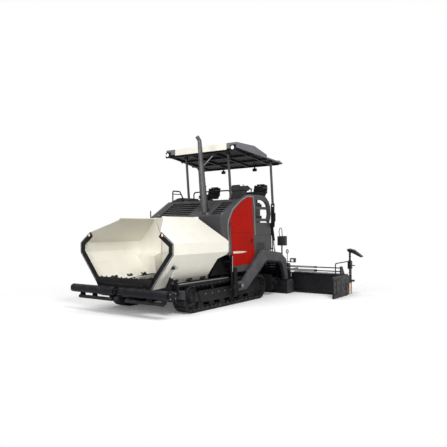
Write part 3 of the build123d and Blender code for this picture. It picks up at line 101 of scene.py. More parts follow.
class Finish:
    """One procedural material on Object coordinates."""

    def __init__(self, name):
        self.material = bpy.data.materials.new(name)
        self.material.use_nodes = True
        self.tree = self.material.node_tree
        self.tree.nodes.clear()
        self.place = self.node("ShaderNodeTexCoord", output="Object")
        self.x, self.y, self.z = self.split(self.place)

    def node(self, kind, settings=None, sockets=None, output=0):
        """Adds a node: its settings first, then the values or links of its sockets."""
        made = self.tree.nodes.new(kind)
        for key, value in (settings or {}).items():
            setattr(made, key, value)
        for key, value in (sockets or {}).items():
            if isinstance(value, Level):
                self.tree.links.new(value.socket, made.inputs[key])
            elif hasattr(value, "__len__") and len(value) == 3 and made.inputs[key].type == "RGBA":
                made.inputs[key].default_value = (*value, 1.0)
            else:
                made.inputs[key].default_value = value
        return Level(self, made.outputs[output]) if made.outputs else None

    def split(self, vector):
        """The three parts of a vector."""
        made = self.tree.nodes.new("ShaderNodeSeparateXYZ")
        self.tree.links.new(vector.socket, made.inputs[0])
        return [Level(self, made.outputs[axis]) for axis in "XYZ"]

    def noise(self, scale, detail=3.0, stretch=None, roughness=0.5):
        place = self.place
        if stretch:
            place = self.node("ShaderNodeMapping", None, {"Vector": place, "Scale": stretch})
        return self.node("ShaderNodeTexNoise", None, {"Vector": place, "Scale": scale, "Detail": detail,
                                                      "Roughness": roughness})

    def cells(self, scale):
        return self.node("ShaderNodeTexVoronoi", None, {"Vector": self.place, "Scale": scale})

    def mix(self, share, first, second):
        """Colour between two colours."""
        return self.node("ShaderNodeMix", {"data_type": "RGBA"}, {"Factor": share, 6: first, 7: second},
                         output=2)

    def facing(self):
        """How much a surface faces up, 0 to 1."""
        return self.split(self.node("ShaderNodeNewGeometry", output="Normal"))[2].high(0.0)

    def settled(self, scale, start, end):
        """Patchy dust on what faces up, 0 to 1."""
        return self.facing() * self.noise(scale, 5.0).step(start, end)

    def orange_peel(self, fine):
        """Height of sprayed paint's fine ripple."""
        return self.noise(160.0, 2.0) * 0.6 + fine * 0.4

    def done(self, colour, roughness, metallic=0.0, coat=0.0, bump=None, depth=0.001, glow=None,
             glow_strength=0.0, specular=0.5):
        """Puts the values on one Principled shader and returns the material."""
        values = {"Base Color": colour, "Roughness": roughness, "Metallic": metallic,
                  "Coat Weight": coat, "Coat Roughness": 0.08, "Specular IOR Level": specular}
        if bump is not None:
            values["Normal"] = self.node("ShaderNodeBump", None,
                                         {"Strength": 1.0, "Distance": depth, "Height": bump})
        if glow is not None:
            values["Emission Color"] = glow
            values["Emission Strength"] = glow_strength
        shader = self.node("ShaderNodeBsdfPrincipled", None, values)
        self.node("ShaderNodeOutputMaterial", None, {"Surface": shader})
        return self.material


# ---- finishes ------------------------------------------------------------------------------

CREAM_TONES = (0.86, 0.835, 0.745), (0.83, 0.80, 0.705)
PEEL_DEPTH = 0.00035


def paint(name, colour, shade, rough, coat, grime_and_shade, specular=0.4):
    """Sprayed paint on steel: fine orange peel, soft blotches, dust on top, and dark soiling blotches that
    darken further low down as painted shade.
    """
    f = Finish(name)
    fine = f.noise(38.0, 2.0)
    low_down = 1.0 - f.z.step(0.25, 1.15)
    # Dark soiling blotches all over, weighted up towards the bottom: the extra darkening low down is painted
    # shade.
    low_shade_and_blotches = (f.noise(6.0, 6.0, roughness=0.7) - 0.42).step(0.0, 0.3) * (0.25 + low_down) * grime_and_shade
    dust = f.settled(9.0, 0.35, 0.75) * grime_and_shade * 0.5
    tone = f.mix(f.noise(1.7, 4.0).step(0.3, 0.7), colour, shade)
    tone = f.mix(low_shade_and_blotches.low(1.0), tone, tuple(0.35 * c + 0.03 for c in shade))
    tone = f.mix(dust.low(1.0), tone, (0.36, 0.34, 0.31))
    gloss = rough + (fine - 0.5) * 0.08 + low_shade_and_blotches * 0.35 + dust * 0.3
    return f.done(tone, gloss, coat=coat - low_shade_and_blotches.low(coat), bump=f.orange_peel(fine), depth=PEEL_DEPTH,
                  specular=specular)


def cast(name, colour, shade, rough=0.55, grain=0.0012, wear=0.0, specular=0.25, dusty=0.25):
    """Thick satin paint or mill scale on rough cast or rolled steel."""
    f = Finish(name)
    pits = f.noise(75.0, 4.0, roughness=0.65)
    rubbed = (f.noise(14.0, 6.0, roughness=0.75) - 0.56).step(0.0, 0.12) * wear
    tone = f.mix(f.noise(3.2, 5.0).step(0.32, 0.68), colour, shade)
    tone = f.mix(rubbed, tone, (0.42, 0.41, 0.40))
    tone = f.mix(f.settled(7.0, 0.38, 0.7) * dusty, tone, (0.24, 0.225, 0.21))
    gloss = rough + (pits - 0.5) * 0.25 - rubbed * 0.2
    return f.done(tone, gloss, bump=pits, depth=grain, specular=specular)


def plated(name, colour, rough=0.16, stretch=(1.0, 1.0, 1.0)):
    """Ground and plated bar with fine marks along it."""
    f = Finish(name)
    marks = f.noise(120.0, 3.0, stretch=stretch)
    film = f.noise(8.0, 4.0)
    tone = f.mix(film.step(0.35, 0.7), colour, tuple(0.72 * c for c in colour))
    return f.done(tone, rough + marks * 0.12 + film * 0.08, metallic=1.0, bump=marks, depth=0.0002)


def moulded(name, colour, rough=0.5, grain=0.0004, scale=220.0, specular=0.25):
    """Moulded plastic or rubber with a fine pebbled skin."""
    f = Finish(name)
    haze = f.noise(5.0, 5.0)
    tone = f.mix(haze.step(0.3, 0.75), colour, tuple(1.35 * c + 0.006 for c in colour))
    tone = f.mix(f.settled(16.0, 0.4, 0.75) * 0.18, tone, (0.23, 0.22, 0.21))
    return f.done(tone, rough + haze * 0.14 - 0.05, bump=f.cells(scale), depth=grain, specular=specular)


def lamp_lens(name):
    """Clear ribbed lens over a bright reflector."""
    f = Finish(name)
    ribs = (f.x * 420.0).sine() * 0.5 + 0.5
    tone = f.mix(ribs, (0.93, 0.94, 0.95), (0.74, 0.76, 0.79))
    return f.done(tone, 0.12 + ribs * 0.05, coat=0.8, bump=ribs, depth=0.0006, glow=tone,
                  glow_strength=0.25)


CREAM = paint("cream paint", *CREAM_TONES, rough=0.3, coat=0.25, grime_and_shade=0.08)
CREAM_IN = paint("cream paint inside", (0.80, 0.775, 0.695), (0.74, 0.715, 0.635), rough=0.42, coat=0.1,
                 grime_and_shade=0.22)
RED = paint("red paint", (0.40, 0.0055, 0.0008), (0.33, 0.0042, 0.0006), rough=0.42, coat=0.0, grime_and_shade=0.03,
            specular=0.05)
STRIPE = paint("pale stripe", (0.72, 0.60, 0.55), (0.68, 0.56, 0.51), rough=0.35, coat=0.2, grime_and_shade=0.1)
GREY = paint("grey paint", (0.064, 0.063, 0.066), (0.050, 0.049, 0.052), rough=0.46, coat=0.04, grime_and_shade=0.16,
             specular=0.2)
HOOD_GREY = paint("hood paint", (0.053, 0.053, 0.057), (0.043, 0.043, 0.046), rough=0.5, coat=0.02, grime_and_shade=0.1,
                  specular=0.12)
EDGE_GREY = paint("light grey paint", (0.19, 0.19, 0.195), (0.15, 0.15, 0.155), rough=0.42, coat=0.05,
                  grime_and_shade=0.3, specular=0.3)
BLACK = paint("black paint", (0.006, 0.006, 0.007), (0.010, 0.010, 0.011), rough=0.48, coat=0.02, grime_and_shade=0.2,
              specular=0.1)
ARM_GREY = cast("tow arm paint", (0.052, 0.052, 0.056), (0.082, 0.082, 0.088), rough=0.5, grain=0.0016)
DARK = cast("dark steel", (0.007, 0.007, 0.008), (0.014, 0.014, 0.016), wear=0.03, specular=0.12)
SCREED = cast("screed steel", (0.005, 0.005, 0.007), (0.009, 0.009, 0.012), rough=0.36, grain=0.0008,
              wear=0.03, specular=0.18, dusty=0.16)
TRACK = cast("track steel", (0.007, 0.007, 0.008), (0.018, 0.017, 0.017), rough=0.6, grain=0.0016,
             wear=0.1, specular=0.12)
ROLLER = cast("roller steel", (0.004, 0.004, 0.006), (0.007, 0.007, 0.010), rough=0.4, grain=0.0005,
              wear=0.03, specular=0.10, dusty=0.10)
PLATE = cast("end plate steel", (0.055, 0.056, 0.064), (0.036, 0.036, 0.042), rough=0.5, wear=0.08,
             specular=0.15)
# Near-black louvres with almost no gloss: painted shade of the grille's inside.
GRILLE = cast("grille steel in painted shade", (0.004, 0.004, 0.005), (0.005, 0.005, 0.006), rough=0.75, grain=0.0004,
              specular=0.02, dusty=0.02)
CHROME = plated("chromed rod", (0.72, 0.73, 0.75))
TUBE = plated("steel tube", (0.42, 0.42, 0.43), rough=0.3)
ZINC = plated("zinc bolts", (0.30, 0.30, 0.31), rough=0.38)
EXHAUST = plated("exhaust steel", (0.105, 0.10, 0.105), rough=0.36, stretch=(1.0, 1.0, 0.1))
RUBBER = moulded("flap rubber", (0.006, 0.006, 0.007), rough=0.62, grain=0.0006, specular=0.1)
PLASTIC = moulded("console plastic", (0.026, 0.026, 0.029), specular=0.2)
HOSE = moulded("pipe sleeve", (0.008, 0.008, 0.009), grain=0.0002, scale=400.0, specular=0.2)
ROOF = moulded("roof shell", (0.155, 0.154, 0.166), grain=0.0002)
AMBER = moulded("reflectors", (0.80, 0.55, 0.38), rough=0.25, grain=0.0002, specular=0.5)
SCREEN = moulded("display glass", (0.006, 0.008, 0.010), rough=0.12, grain=0.0001, specular=0.5)
LENS = lamp_lens("lamp lens")

# Places on the frame that the finishes below and the hardware go by.
HINGE_X, HINGE_Z, HINGE_YS = 0.92, 0.705, (-2.42, -1.95, -1.48)
WING_FOOT_X, WING_FOOT_Z = 0.805, 0.572
FLANK_RISE, FLANK_RUN = 0.7712, 0.6366
LUG_Y, LUG_Z = -2.78, 1.02
CONVEYOR_HALF, CONVEYOR_END_Y = 0.6, -1.2
ROOF_FRONT_Y, ROOF_UNDER_Z, ROOF_FALL = -0.35, 3.75, 0.117
LAMP_NOSE_Y, LAMP_NOSE_Z = -0.372, 3.86
SLEEVE_Y = 2.15
SLEEVES = ((0.650, 0.046, 0.0335), (0.742, 0.042, 0.0265))  # height, sleeve's radius, tube's radius
COLLAR_X, TUBE_END_X = 1.955, 2.032


def wing_paint(name):
    """Cream paint whose hinge knuckles and cylinder lugs are black."""
    f = Finish(name)
    across, rise = f.x.absolute() - HINGE_X, f.z - HINGE_Z
    reach = (across * across + rise * rise) ** 0.5
    at_hinge = 0.0
    for hinge_y in HINGE_YS:
        at_hinge = f.y.near(hinge_y, 0.09) * 1.0 + at_hinge
    from_foot = across + (HINGE_X - WING_FOOT_X)
    outside = (from_foot * FLANK_RISE - (f.z - WING_FOOT_Z) * FLANK_RUN) > 0.0015
    lug = f.y.near(LUG_Y, 0.05) * f.z.near(LUG_Z, 0.055) * outside
    black = ((reach < 0.044) * at_hinge.low(1.0)).high(lug)
    scuff = (f.noise(7.0, 6.0, roughness=0.72) - 0.52).step(0.0, 0.22) * (1.0 - f.z.step(0.6, 1.2)) * 0.3
    streak = f.noise(5.0, 4.0, stretch=(1.0, 1.0, 0.12)).step(0.5, 0.8) * 0.10
    tone = f.mix(f.noise(1.7, 4.0).step(0.3, 0.7), *CREAM_TONES)
    tone = f.mix((scuff + streak).low(1.0), tone, (0.42, 0.38, 0.31))
    tone = f.mix(black, tone, (0.012, 0.012, 0.013))
    fine = f.noise(38.0, 2.0)
    return f.done(tone, fine * 0.08 + 0.28 + scuff * 0.3, coat=0.2 - scuff * 0.2, bump=f.orange_peel(fine),
                  depth=PEEL_DEPTH, specular=0.35)


def hopper_lining(name):
    """Worn cream walls over a dark conveyor floor."""
    f = Finish(name)
    walls = ((f.x.absolute() > CONVEYOR_HALF) * 1.0 + (f.y > CONVEYOR_END_Y)).low(1.0)
    cream = (f.z > WING_FOOT_Z) * walls
    rub = f.noise(11.0, 6.0, roughness=0.75)
    low_down = 1.0 - f.z.step(0.58, 0.95)
    worn = (rub - 0.42).step(0.0, 0.25) * (low_down * 0.7 + 0.12)
    tone = f.mix(f.noise(2.0, 4.0).step(0.3, 0.7), (0.78, 0.755, 0.675), (0.72, 0.695, 0.61))
    tone = f.mix(worn.low(1.0), tone, (0.10, 0.09, 0.08))
    steel = f.mix(rub.step(0.4, 0.65), (0.014, 0.014, 0.015), (0.045, 0.043, 0.041))
    return f.done(f.mix(cream, steel, tone), 0.62 - cream * 0.2 + (rub - 0.5) * 0.2, bump=rub, depth=0.0012,
                  specular=0.25)


def canopy_shell(name):
    """Grey roof whose underside is painted near black as painted shade, with dark lamp housings."""
    f = Finish(name)
    underside = ROOF_UNDER_Z - (f.y - ROOF_FRONT_Y) * ROOF_FALL
    nose = (f.y < LAMP_NOSE_Y) * (f.z < LAMP_NOSE_Z)
    # The near-black underside is painted shade beneath the roof; the nose is the lamp housings' own dark.
    dark = (((f.z - underside) < 0.014) * 1.0 + nose).low(1.0)
    haze = f.noise(3.0, 5.0)
    tone = f.mix(haze.step(0.3, 0.7), (0.150, 0.149, 0.162), (0.180, 0.179, 0.192))
    tone = f.mix(f.settled(5.0, 0.35, 0.7) * 0.2, tone, (0.27, 0.26, 0.25))
    tone = f.mix(dark, tone, (0.010, 0.010, 0.012))
    return f.done(tone, haze * 0.14 + 0.42 + dark * 0.12, bump=f.cells(240.0), depth=0.0002, specular=0.2)


def track_wear(name):
    """Black track steel, bright and dusty only where it rubs."""
    f = Finish(name)
    rub = f.noise(16.0, 6.0, roughness=0.75)
    pits = f.noise(75.0, 4.0, roughness=0.65)
    tone = f.mix(rub.step(0.35, 0.7), (0.009, 0.009, 0.010), (0.026, 0.025, 0.024))
    tone = f.mix((rub - 0.6).step(0.0, 0.1) * 0.35, tone, (0.20, 0.195, 0.19))
    dust = (1.0 - f.z.step(0.0, 0.35)) * f.noise(7.0, 5.0).step(0.42, 0.72) * 0.3
    tone = f.mix(dust, tone, (0.10, 0.09, 0.082))
    return f.done(tone, 0.58 + (pits - 0.5) * 0.25, bump=pits, depth=0.0016, specular=0.12)


def extension_finish(name):
    """Black steel box with bright guide tubes that end in dark collars."""
    f = Finish(name)
    across = f.x.absolute()
    tube = 0.0
    for height, _, radius in SLEEVES:
        back, rise = f.y - SLEEVE_Y, f.z - height
        tube = ((back * back + rise * rise) ** 0.5 < radius) * 1.0 + tube
    tube = tube.low(1.0) * (across < TUBE_END_X)
    collar = tube * (across > COLLAR_X)
    rub = f.noise(14.0, 6.0, roughness=0.75)
    tone = f.mix(f.noise(3.2, 5.0).step(0.32, 0.68), (0.006, 0.006, 0.008), (0.011, 0.011, 0.014))
    tone = f.mix((rub - 0.6).step(0.0, 0.1) * 0.1, tone, (0.2, 0.2, 0.2))
    tone = f.mix(tube, tone, (0.20, 0.20, 0.21))
    tone = f.mix(collar, tone, (0.03, 0.03, 0.03))
    return f.done(tone, 0.34 + (rub - 0.5) * 0.2 + tube * 0.05, bump=f.noise(75.0, 4.0), depth=0.0006,
                  specular=0.2)


def weave(name):
    """Black seat cloth in a plain weave."""
    f = Finish(name)
    warp = (f.x * 1500.0).sine() * (f.y * 1500.0 + f.z * 1500.0).sine() * 0.5 + 0.5
    haze = f.noise(6.0, 4.0)
    tone = f.mix(warp * 0.6 + haze * 0.3, (0.006, 0.006, 0.007), (0.020, 0.020, 0.022))
    return f.done(tone, 0.85 - haze * 0.1, bump=warp, depth=0.0004, specular=0.1)


def grating(name):
    """Walkway plate with a raised diamond tread."""
    f = Finish(name)
    first = ((f.x + f.y) * 110.0).sine()
    second = ((f.x - f.y) * 110.0).sine()
    studs = (first * second).absolute().step(0.55, 0.8) * f.facing()
    tone = f.mix(studs * 0.5 + f.noise(9.0, 5.0) * 0.3, (0.008, 0.008, 0.009), (0.06, 0.06, 0.062))
    return f.done(tone, 0.5 - studs * 0.15, bump=studs, depth=0.0015, specular=0.2)


WING = wing_paint("wing paint")
LINING = hopper_lining("hopper lining")
CANOPY = canopy_shell("canopy shell")
CHAIN = track_wear("track wear")
SLIDER = extension_finish("extension finish")
CLOTH = weave("seat cloth")
TREAD = grating("tread plate")

# ---- modelling -----------------------------------------------------------------------------

SIDES = (("left", 1.0), ("right", -1.0))
CREASE = math.radians(32.0)
ACROSS, AHEAD, BACKWARD, UPWARD = (1, 0, 0), (0, -1, 0), (0, 1, 0), (0, 0, 1)


def rounded(points, bend, steps=5):
    """A run of points whose corners are swapped for curves that start a bend's length away.

    A bend takes no more than 0.45 of either leg.
    """
    points = [Vector(point) for point in points]
    smooth = [points[0]]
    for before, corner, after in zip(points, points[1:], points[2:]):
        reach_in = min(bend, (before - corner).length * 0.45)
        reach_out = min(bend, (after - corner).length * 0.45)
        start = corner + (before - corner).normalized() * reach_in
        end = corner + (after - corner).normalized() * reach_out
        for step in range(steps + 1):
            share = step / steps
            smooth.append(start.lerp(corner, share).lerp(corner.lerp(end, share), share))
    return smooth + [points[-1]]


def spread(start, end, count):
    """Evenly spaced numbers from start to end."""
    return [start + (end - start) * index / (count - 1) for index in range(count)]


def round_spots(count, radius):
    """Pairs (a, b) evenly spaced round a circle."""
    return [(radius * math.cos(index * math.tau / count), radius * math.sin(index * math.tau / count))
            for index in range(count)]


def offset_line(points, distance):
    """An open run of (a, b) corners, moved to its left by a distance."""
    points = [Vector(point) for point in points]
    sides = [Vector((-(end - start).y, (end - start).x)).normalized()
             for start, end in zip(points, points[1:])]
    moved = []
    for index, point in enumerate(points):
        before = sides[max(index - 1, 0)]
        after = sides[min(index, len(sides) - 1)]
        moved.append(point + (before + after) * (distance / (1.0 + before.dot(after))))
    return moved


def band(points, start, end):
    """Closed outline between two offsets of an open run of corners."""
    return offset_line(points, start) + offset_line(points, end)[::-1]


def new_piece(name, mesh, material, body):
    """An object for a finished mesh, with its finish, that rides on a body."""
    piece = bpy.data.objects.new(name, mesh)
    bpy.context.scene.collection.objects.link(piece)
    mesh.materials.append(material)
    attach(piece, body)
    return piece


class Shape:
    """A piece in the making, in metres and in the machine's own frame."""

    def __init__(self):
        self.mesh = bmesh.new()

    def soften(self, verts, width):
        """Rounds the sharp edges among some corners."""
        if width:
            edges = {edge for vert in verts for edge in vert.link_edges
                     if len(edge.link_faces) == 2 and edge.calc_face_angle(0.0) > CREASE}
            bmesh.ops.bevel(self.mesh, geom=list(edges), offset=width, offset_type="OFFSET",
                            segments=2, profile=0.5, affect="EDGES", clamp_overlap=True, material=-1)
        return self

    def box(self, low, high, edge=0.0):
        """Upright box between two corners."""
        low, high = Vector(low), Vector(high)
        place = Matrix.Translation((low + high) / 2) @ Matrix.Diagonal((*(high - low), 1.0))
        made = bmesh.ops.create_cube(self.mesh, size=1.0, matrix=place)
        return self.soften(made["verts"], edge)

    def slab(self, centre, along, across, size, edge=0.0):
        """Box of (length, width, height) turned to a length direction and a width direction."""
        along = Vector(along).normalized()
        across = Vector(across).normalized()
        turn = Matrix((along, across, along.cross(across))).transposed().to_4x4()
        place = Matrix.Translation(centre) @ turn @ Matrix.Diagonal((*size, 1.0))
        made = bmesh.ops.create_cube(self.mesh, size=1.0, matrix=place)
        return self.soften(made["verts"], edge)

    def bar(self, start, end, radius, sides=16, tip=None, edge=0.0):
        """Round bar, or a cone where tip gives its far radius."""
        start, end = Vector(start), Vector(end)
        turn = (end - start).to_track_quat("Z", "Y").to_matrix().to_4x4()
        made = bmesh.ops.create_cone(self.mesh, cap_ends=True, segments=sides, radius1=radius,
                                     radius2=radius if tip is None else tip,
                                     depth=(end - start).length,
                                     matrix=Matrix.Translation((start + end) / 2) @ turn)
        return self.soften(made["verts"], edge)

    def turned(self, start, axis, profile, sides=24):
        """Lathe shape from a profile of (distance along the axis, radius)."""
        start, axis = Vector(start), Vector(axis).normalized()
        side = axis.orthogonal().normalized()
        verts = [self.mesh.verts.new(start + axis * along + side * radius) for along, radius in profile]
        edges = [self.mesh.edges.new(pair) for pair in zip(verts, verts[1:])]
        bmesh.ops.spin(self.mesh, geom=verts + edges, cent=start, axis=axis, angle=math.tau,
                       steps=sides, use_merge=True, use_duplicate=False)
        return self

    def ring(self, start, axis, inner, outer, width, sides=24):
        """Square collar round an axis."""
        return self.turned(start, axis, [(0, inner), (0, outer), (width, outer), (width, inner)], sides)

    def plate(self, outline, axis, start, end, edge=0.0):
        """Flat outline pushed along an axis: (y, z) along x, (x, z) along y or (x, y) along z."""
        place = {"x": lambda a, b: (start, a, b), "y": lambda a, b: (a, start, b),
                 "z": lambda a, b: (a, b, start)}[axis]
        push = {"x": Vector((end - start, 0, 0)), "y": Vector((0, end - start, 0)),
                "z": Vector((0, 0, end - start))}[axis]
        face = self.mesh.faces.new([self.mesh.verts.new(place(*point)) for point in outline])
        grown = bmesh.ops.extrude_face_region(self.mesh, geom=[face], use_keep_orig=True)
        far = [item for item in grown["geom"] if isinstance(item, bmesh.types.BMVert)]
        bmesh.ops.translate(self.mesh, verts=far, vec=push)
        return self.soften(far + list(face.verts), edge)

    def tube(self, points, radius, bend=0.05):
        """Pipe along a run of points with curved corners."""
        curve = bpy.data.curves.new("run", "CURVE")
        curve.dimensions = "3D"
        curve.bevel_depth = radius
        curve.bevel_resolution = 2
        curve.use_fill_caps = True
        run = rounded(points, bend)
        spline = curve.splines.new("POLY")
        spline.points.add(len(run) - 1)
        for point, place in zip(spline.points, run):
            point.co = (*place, 1.0)
        carrier = bpy.data.objects.new("run", curve)
        mesh = bpy.data.meshes.new_from_object(carrier)
        self.mesh.from_mesh(mesh)
        bpy.data.objects.remove(carrier)
        bpy.data.curves.remove(curve)
        bpy.data.meshes.remove(mesh)
        return self

    def bolts(self, places, normal, radius=0.013, height=0.010):
        """Hexagon heads on washers."""
        normal = Vector(normal).normalized()
        for place in places:
            place = Vector(place)
            washer_top = place + normal * height * 0.25
            self.bar(place, washer_top, radius * 1.5, 12)
            self.bar(washer_top, place + normal * height, radius, 6, radius * 0.93)
        return self

    def mirrored(self):
        """Adds the same shape on the other side of the middle plane."""
        copied = bmesh.ops.duplicate(self.mesh, geom=self.mesh.verts[:] + self.mesh.edges[:] +
                                     self.mesh.faces[:])
        verts = [item for item in copied["geom"] if isinstance(item, bmesh.types.BMVert)]
        bmesh.ops.scale(self.mesh, vec=(-1.0, 1.0, 1.0), verts=verts)
        return self

    def flipped(self, side):
        """Moves the shape to the right-hand side where side is -1."""
        bmesh.ops.scale(self.mesh, vec=(side, 1.0, 1.0), verts=self.mesh.verts[:])
        return self

    def done(self, name, body, slot, material):
        """Closes the shape as a piece that rides on a body."""
        bmesh.ops.remove_doubles(self.mesh, verts=self.mesh.verts[:], dist=0.00005)
        bmesh.ops.recalc_face_normals(self.mesh, faces=self.mesh.faces[:])
        mesh = bpy.data.meshes.new(name)
        self.mesh.to_mesh(mesh)
        self.mesh.free()
        mesh.shade_smooth()
        mesh.set_sharp_from_angle(angle=CREASE)
        return new_piece(name, mesh, material, body)


def each_side(make, name, body, slot, material):
    """One piece on each side from a function that makes the left one."""
    for side, sign in SIDES:
        make(Shape()).flipped(sign).done(f"{name}_{side}", body.format(side=side), slot, material)


def softened(node, body, material, width):
    """Copy of a frame node with rounded edges, which stands for it."""
    shape = bmesh.new()
    shape.from_mesh(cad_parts[node].data)
    bmesh.ops.remove_doubles(shape, verts=shape.verts[:], dist=0.00002)
    bmesh.ops.dissolve_limit(shape, angle_limit=math.radians(0.6), verts=shape.verts[:],
                             edges=shape.edges[:], delimit={"NORMAL"})
    mesh = bpy.data.meshes.new(f"{node}_skin")
    shape.to_mesh(mesh)
    shape.free()
    mesh.shade_smooth()
    mesh.set_sharp_from_angle(angle=CREASE)
    piece = new_piece(f"{node}_skin", mesh, material, body)
    bevel = piece.modifiers.new("edges", "BEVEL")
    bevel.width = width
    bevel.segments = 2
    bevel.limit_method = "ANGLE"
    bevel.angle_limit = CREASE
    bevel.harden_normals = True
    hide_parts(node)


# ---- camera, light and floor ---------------------------------------------------------------

AZIMUTH = math.radians(35.355)
ELEVATION = math.radians(-0.574)
ROLL = math.radians(-0.425)
CAMERA_PLACE = (7.871, -10.441, 1.807)
LENS_LENGTH = 40.463
SKY_LEVEL = 0.46
FLOOR_RADIUS, FADE_START, FADE_END = 11.0, 3.4, 6.4


def studio_camera():
    """Camera at the height of the hopper's rim, ahead of the machine's left front corner."""
    back = Vector((math.sin(AZIMUTH) * math.cos(ELEVATION), -math.cos(AZIMUTH) * math.cos(ELEVATION),
                   math.sin(ELEVATION)))
    right = Vector((math.cos(AZIMUTH), math.sin(AZIMUTH), 0.0))
    up = back.cross(right)
    turned_right = right * math.cos(ROLL) + up * math.sin(ROLL)
    turned_up = up * math.cos(ROLL) - right * math.sin(ROLL)
    data = bpy.data.cameras.new("camera")
    data.lens = LENS_LENGTH
    data.sensor_width = 36.0
    data.clip_end = 200.0
    camera = bpy.data.objects.new("camera", data)
    bpy.context.scene.collection.objects.link(camera)
    turn = Matrix((turned_right, turned_up, back)).transposed().to_4x4()
    camera.matrix_world = Matrix.Translation(CAMERA_PLACE) @ turn
    bpy.context.scene.camera = camera


def white_world():
    """White to the camera and in reflections, a plain soft light on everything else."""
    world = bpy.data.worlds.new("studio")
    bpy.context.scene.world = world
    world.use_nodes = True
    tree = world.node_tree
    tree.nodes.clear()
    path = tree.nodes.new("ShaderNodeLightPath")
    seen = path.outputs["Is Camera Ray"]
    for ray in ("Is Transmission Ray", "Is Glossy Ray"):
        either = tree.nodes.new("ShaderNodeMath")
        either.operation = "MAXIMUM"
        tree.links.new(seen, either.inputs[0])
        tree.links.new(path.outputs[ray], either.inputs[1])
        seen = either.outputs[0]
    level = tree.nodes.new("ShaderNodeMapRange")
    level.inputs["To Min"].default_value = SKY_LEVEL
    level.inputs["To Max"].default_value = 1.0
    tree.links.new(seen, level.inputs["Value"])
    shader = tree.nodes.new("ShaderNodeBackground")
    shader.inputs["Color"].default_value = (1.0, 1.0, 1.0, 1.0)
    tree.links.new(level.outputs[0], shader.inputs["Strength"])
    out = tree.nodes.new("ShaderNodeOutputWorld")
    tree.links.new(shader.outputs[0], out.inputs["Surface"])


def area_light(name, spot, target, size, power):
    """Soft box that points at a spot on the machine."""
    data = bpy.data.lights.new(name, "AREA")
    data.shape = "DISK"
    data.size = size
    data.energy = power
    lamp = bpy.data.objects.new(name, data)
    bpy.context.scene.collection.objects.link(lamp)
    lamp.location = spot
    lamp.rotation_euler = (Vector(target) - Vector(spot)).to_track_quat("-Z", "Y").to_euler()


def pale_floor():
    """Round white floor that fades out at its edge, so only the machine's shadow shows on it."""
    shape = bmesh.new()
    bmesh.ops.create_circle(shape, cap_ends=True, segments=96, radius=FLOOR_RADIUS)
    mesh = bpy.data.meshes.new("floor")
    shape.to_mesh(mesh)
    shape.free()
    floor = bpy.data.objects.new("floor", mesh)
    bpy.context.scene.collection.objects.link(floor)
    f = Finish("floor white")
    edge = (f.x * f.x + f.y * f.y) ** 0.5
    white = f.node("ShaderNodeBsdfDiffuse", None, {"Color": (0.97, 0.97, 0.97, 1.0)})
    clear = f.node("ShaderNodeBsdfTransparent")
    seen = f.node("ShaderNodeLightPath", output="Is Camera Ray")
    lift = f.node("ShaderNodeEmission", None, {"Color": (1.0, 1.0, 1.0, 1.0), "Strength": seen * 0.10})
    lifted = f.node("ShaderNodeAddShader", None, {0: white, 1: lift})
    shader = f.node("ShaderNodeMixShader", None, {0: edge.step(FADE_START, FADE_END), 1: lifted, 2: clear})
    f.node("ShaderNodeOutputMaterial", None, {"Surface": shader})
    mesh.materials.append(f.material)
    floor.location.z = -0.001


studio_camera()
bpy.context.scene.view_settings.view_transform = "Standard"
white_world()
area_light("key", (9.0, -6.5, 9.0), (0.0, -0.5, 1.2), 4.0, 1000.0)
area_light("front", (1.5, -13.0, 5.0), (-0.6, -1.8, 1.2), 5.0, 620.0)
area_light("top", (-2.0, 2.0, 11.0), (0.0, 0.0, 1.0), 6.0, 300.0)
pale_floor()

# ---- finishes of the frame's own pieces ----------------------------------------------------

FINISHES = {
    "front_apron": RUBBER, "hopper_floor": LINING, "hopper_back": CREAM_IN, "chassis_frame": BLACK,
    "track_frames": CHAIN, "engine_block": DARK, "hood": HOOD_GREY, "hood_grilles": GRILLE,
    "body_sides": GREY, "platform_deck": GREY, "access_steps": GREY, "console": PLASTIC, "railings": BLACK,
    "exhaust": EXHAUST, "auger_carrier": DARK, "push_beam": DARK, "roof_canopy": CANOPY, "roof_panel": CREAM,
    "roof_posts_front": GREY, "roof_posts_rear": GREY, "tow_points": BLACK, "tow_arms": ARM_GREY,
    "screed_main": SCREED, "screed_walkway": TREAD, "screed_controls": PLASTIC, "lift_cylinders": BLACK,
    "lift_rods": CHROME,
}
SIDE_FINISHES = {
    "wing": WING, "wing_flap": RUBBER, "track": CHAIN, "auger": DARK, "push_roller": ROLLER,
    "hopper_cylinder": BLACK, "hopper_rod": CHROME, "side_door": RED, "screed_extension": SLIDER,
    "end_gate": SCREED, "seat": PLASTIC, "seat_frame": BLACK,
}


def dress(node, material):
    """Gives a frame node its finish."""
    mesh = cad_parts[node].data
    mesh.materials.clear()
    mesh.materials.append(material)


for node, material in FINISHES.items():
    dress(node, material)
for stem, material in SIDE_FINISHES.items():
    for side, sign in SIDES:
        dress(f"{stem}_{side}", material)

# ---- rounded edges on the frame's own pieces -----------------------------------------------

EDGES = {
    "hood": ("root", "grey_paint", 0.012), "body_sides": ("root", "grey_paint", 0.006),
    "roof_canopy": ("roof", "roof_shell", 0.012), "roof_panel": ("roof", "cream_paint", 0.010),
    "tow_arms": ("screed", "grey_paint", 0.008), "console": ("root", "console_plastic", 0.010),
    "screed_main": ("screed", "dark_steel", 0.005), "push_beam": ("push_beam", "dark_steel", 0.005),
    "hopper_back": ("root", "cream_paint", 0.004),
}
SIDE_EDGES = {
    "wing": ("wing", "cream_paint", 0.004), "screed_extension": ("extension", "dark_steel", 0.005),
    "end_gate": ("gate", "dark_steel", 0.004), "side_door": ("door", "red_paint", 0.005),
}
for node, (body, slot, width) in EDGES.items():
    softened(node, body, FINISHES[node], width)
for side, sign in SIDES:
    for stem, (body, slot, width) in SIDE_EDGES.items():
        softened(f"{stem}_{side}", f"{body}_{side}", SIDE_FINISHES[stem], width)

# ---- tracks --------------------------------------------------------------------------------

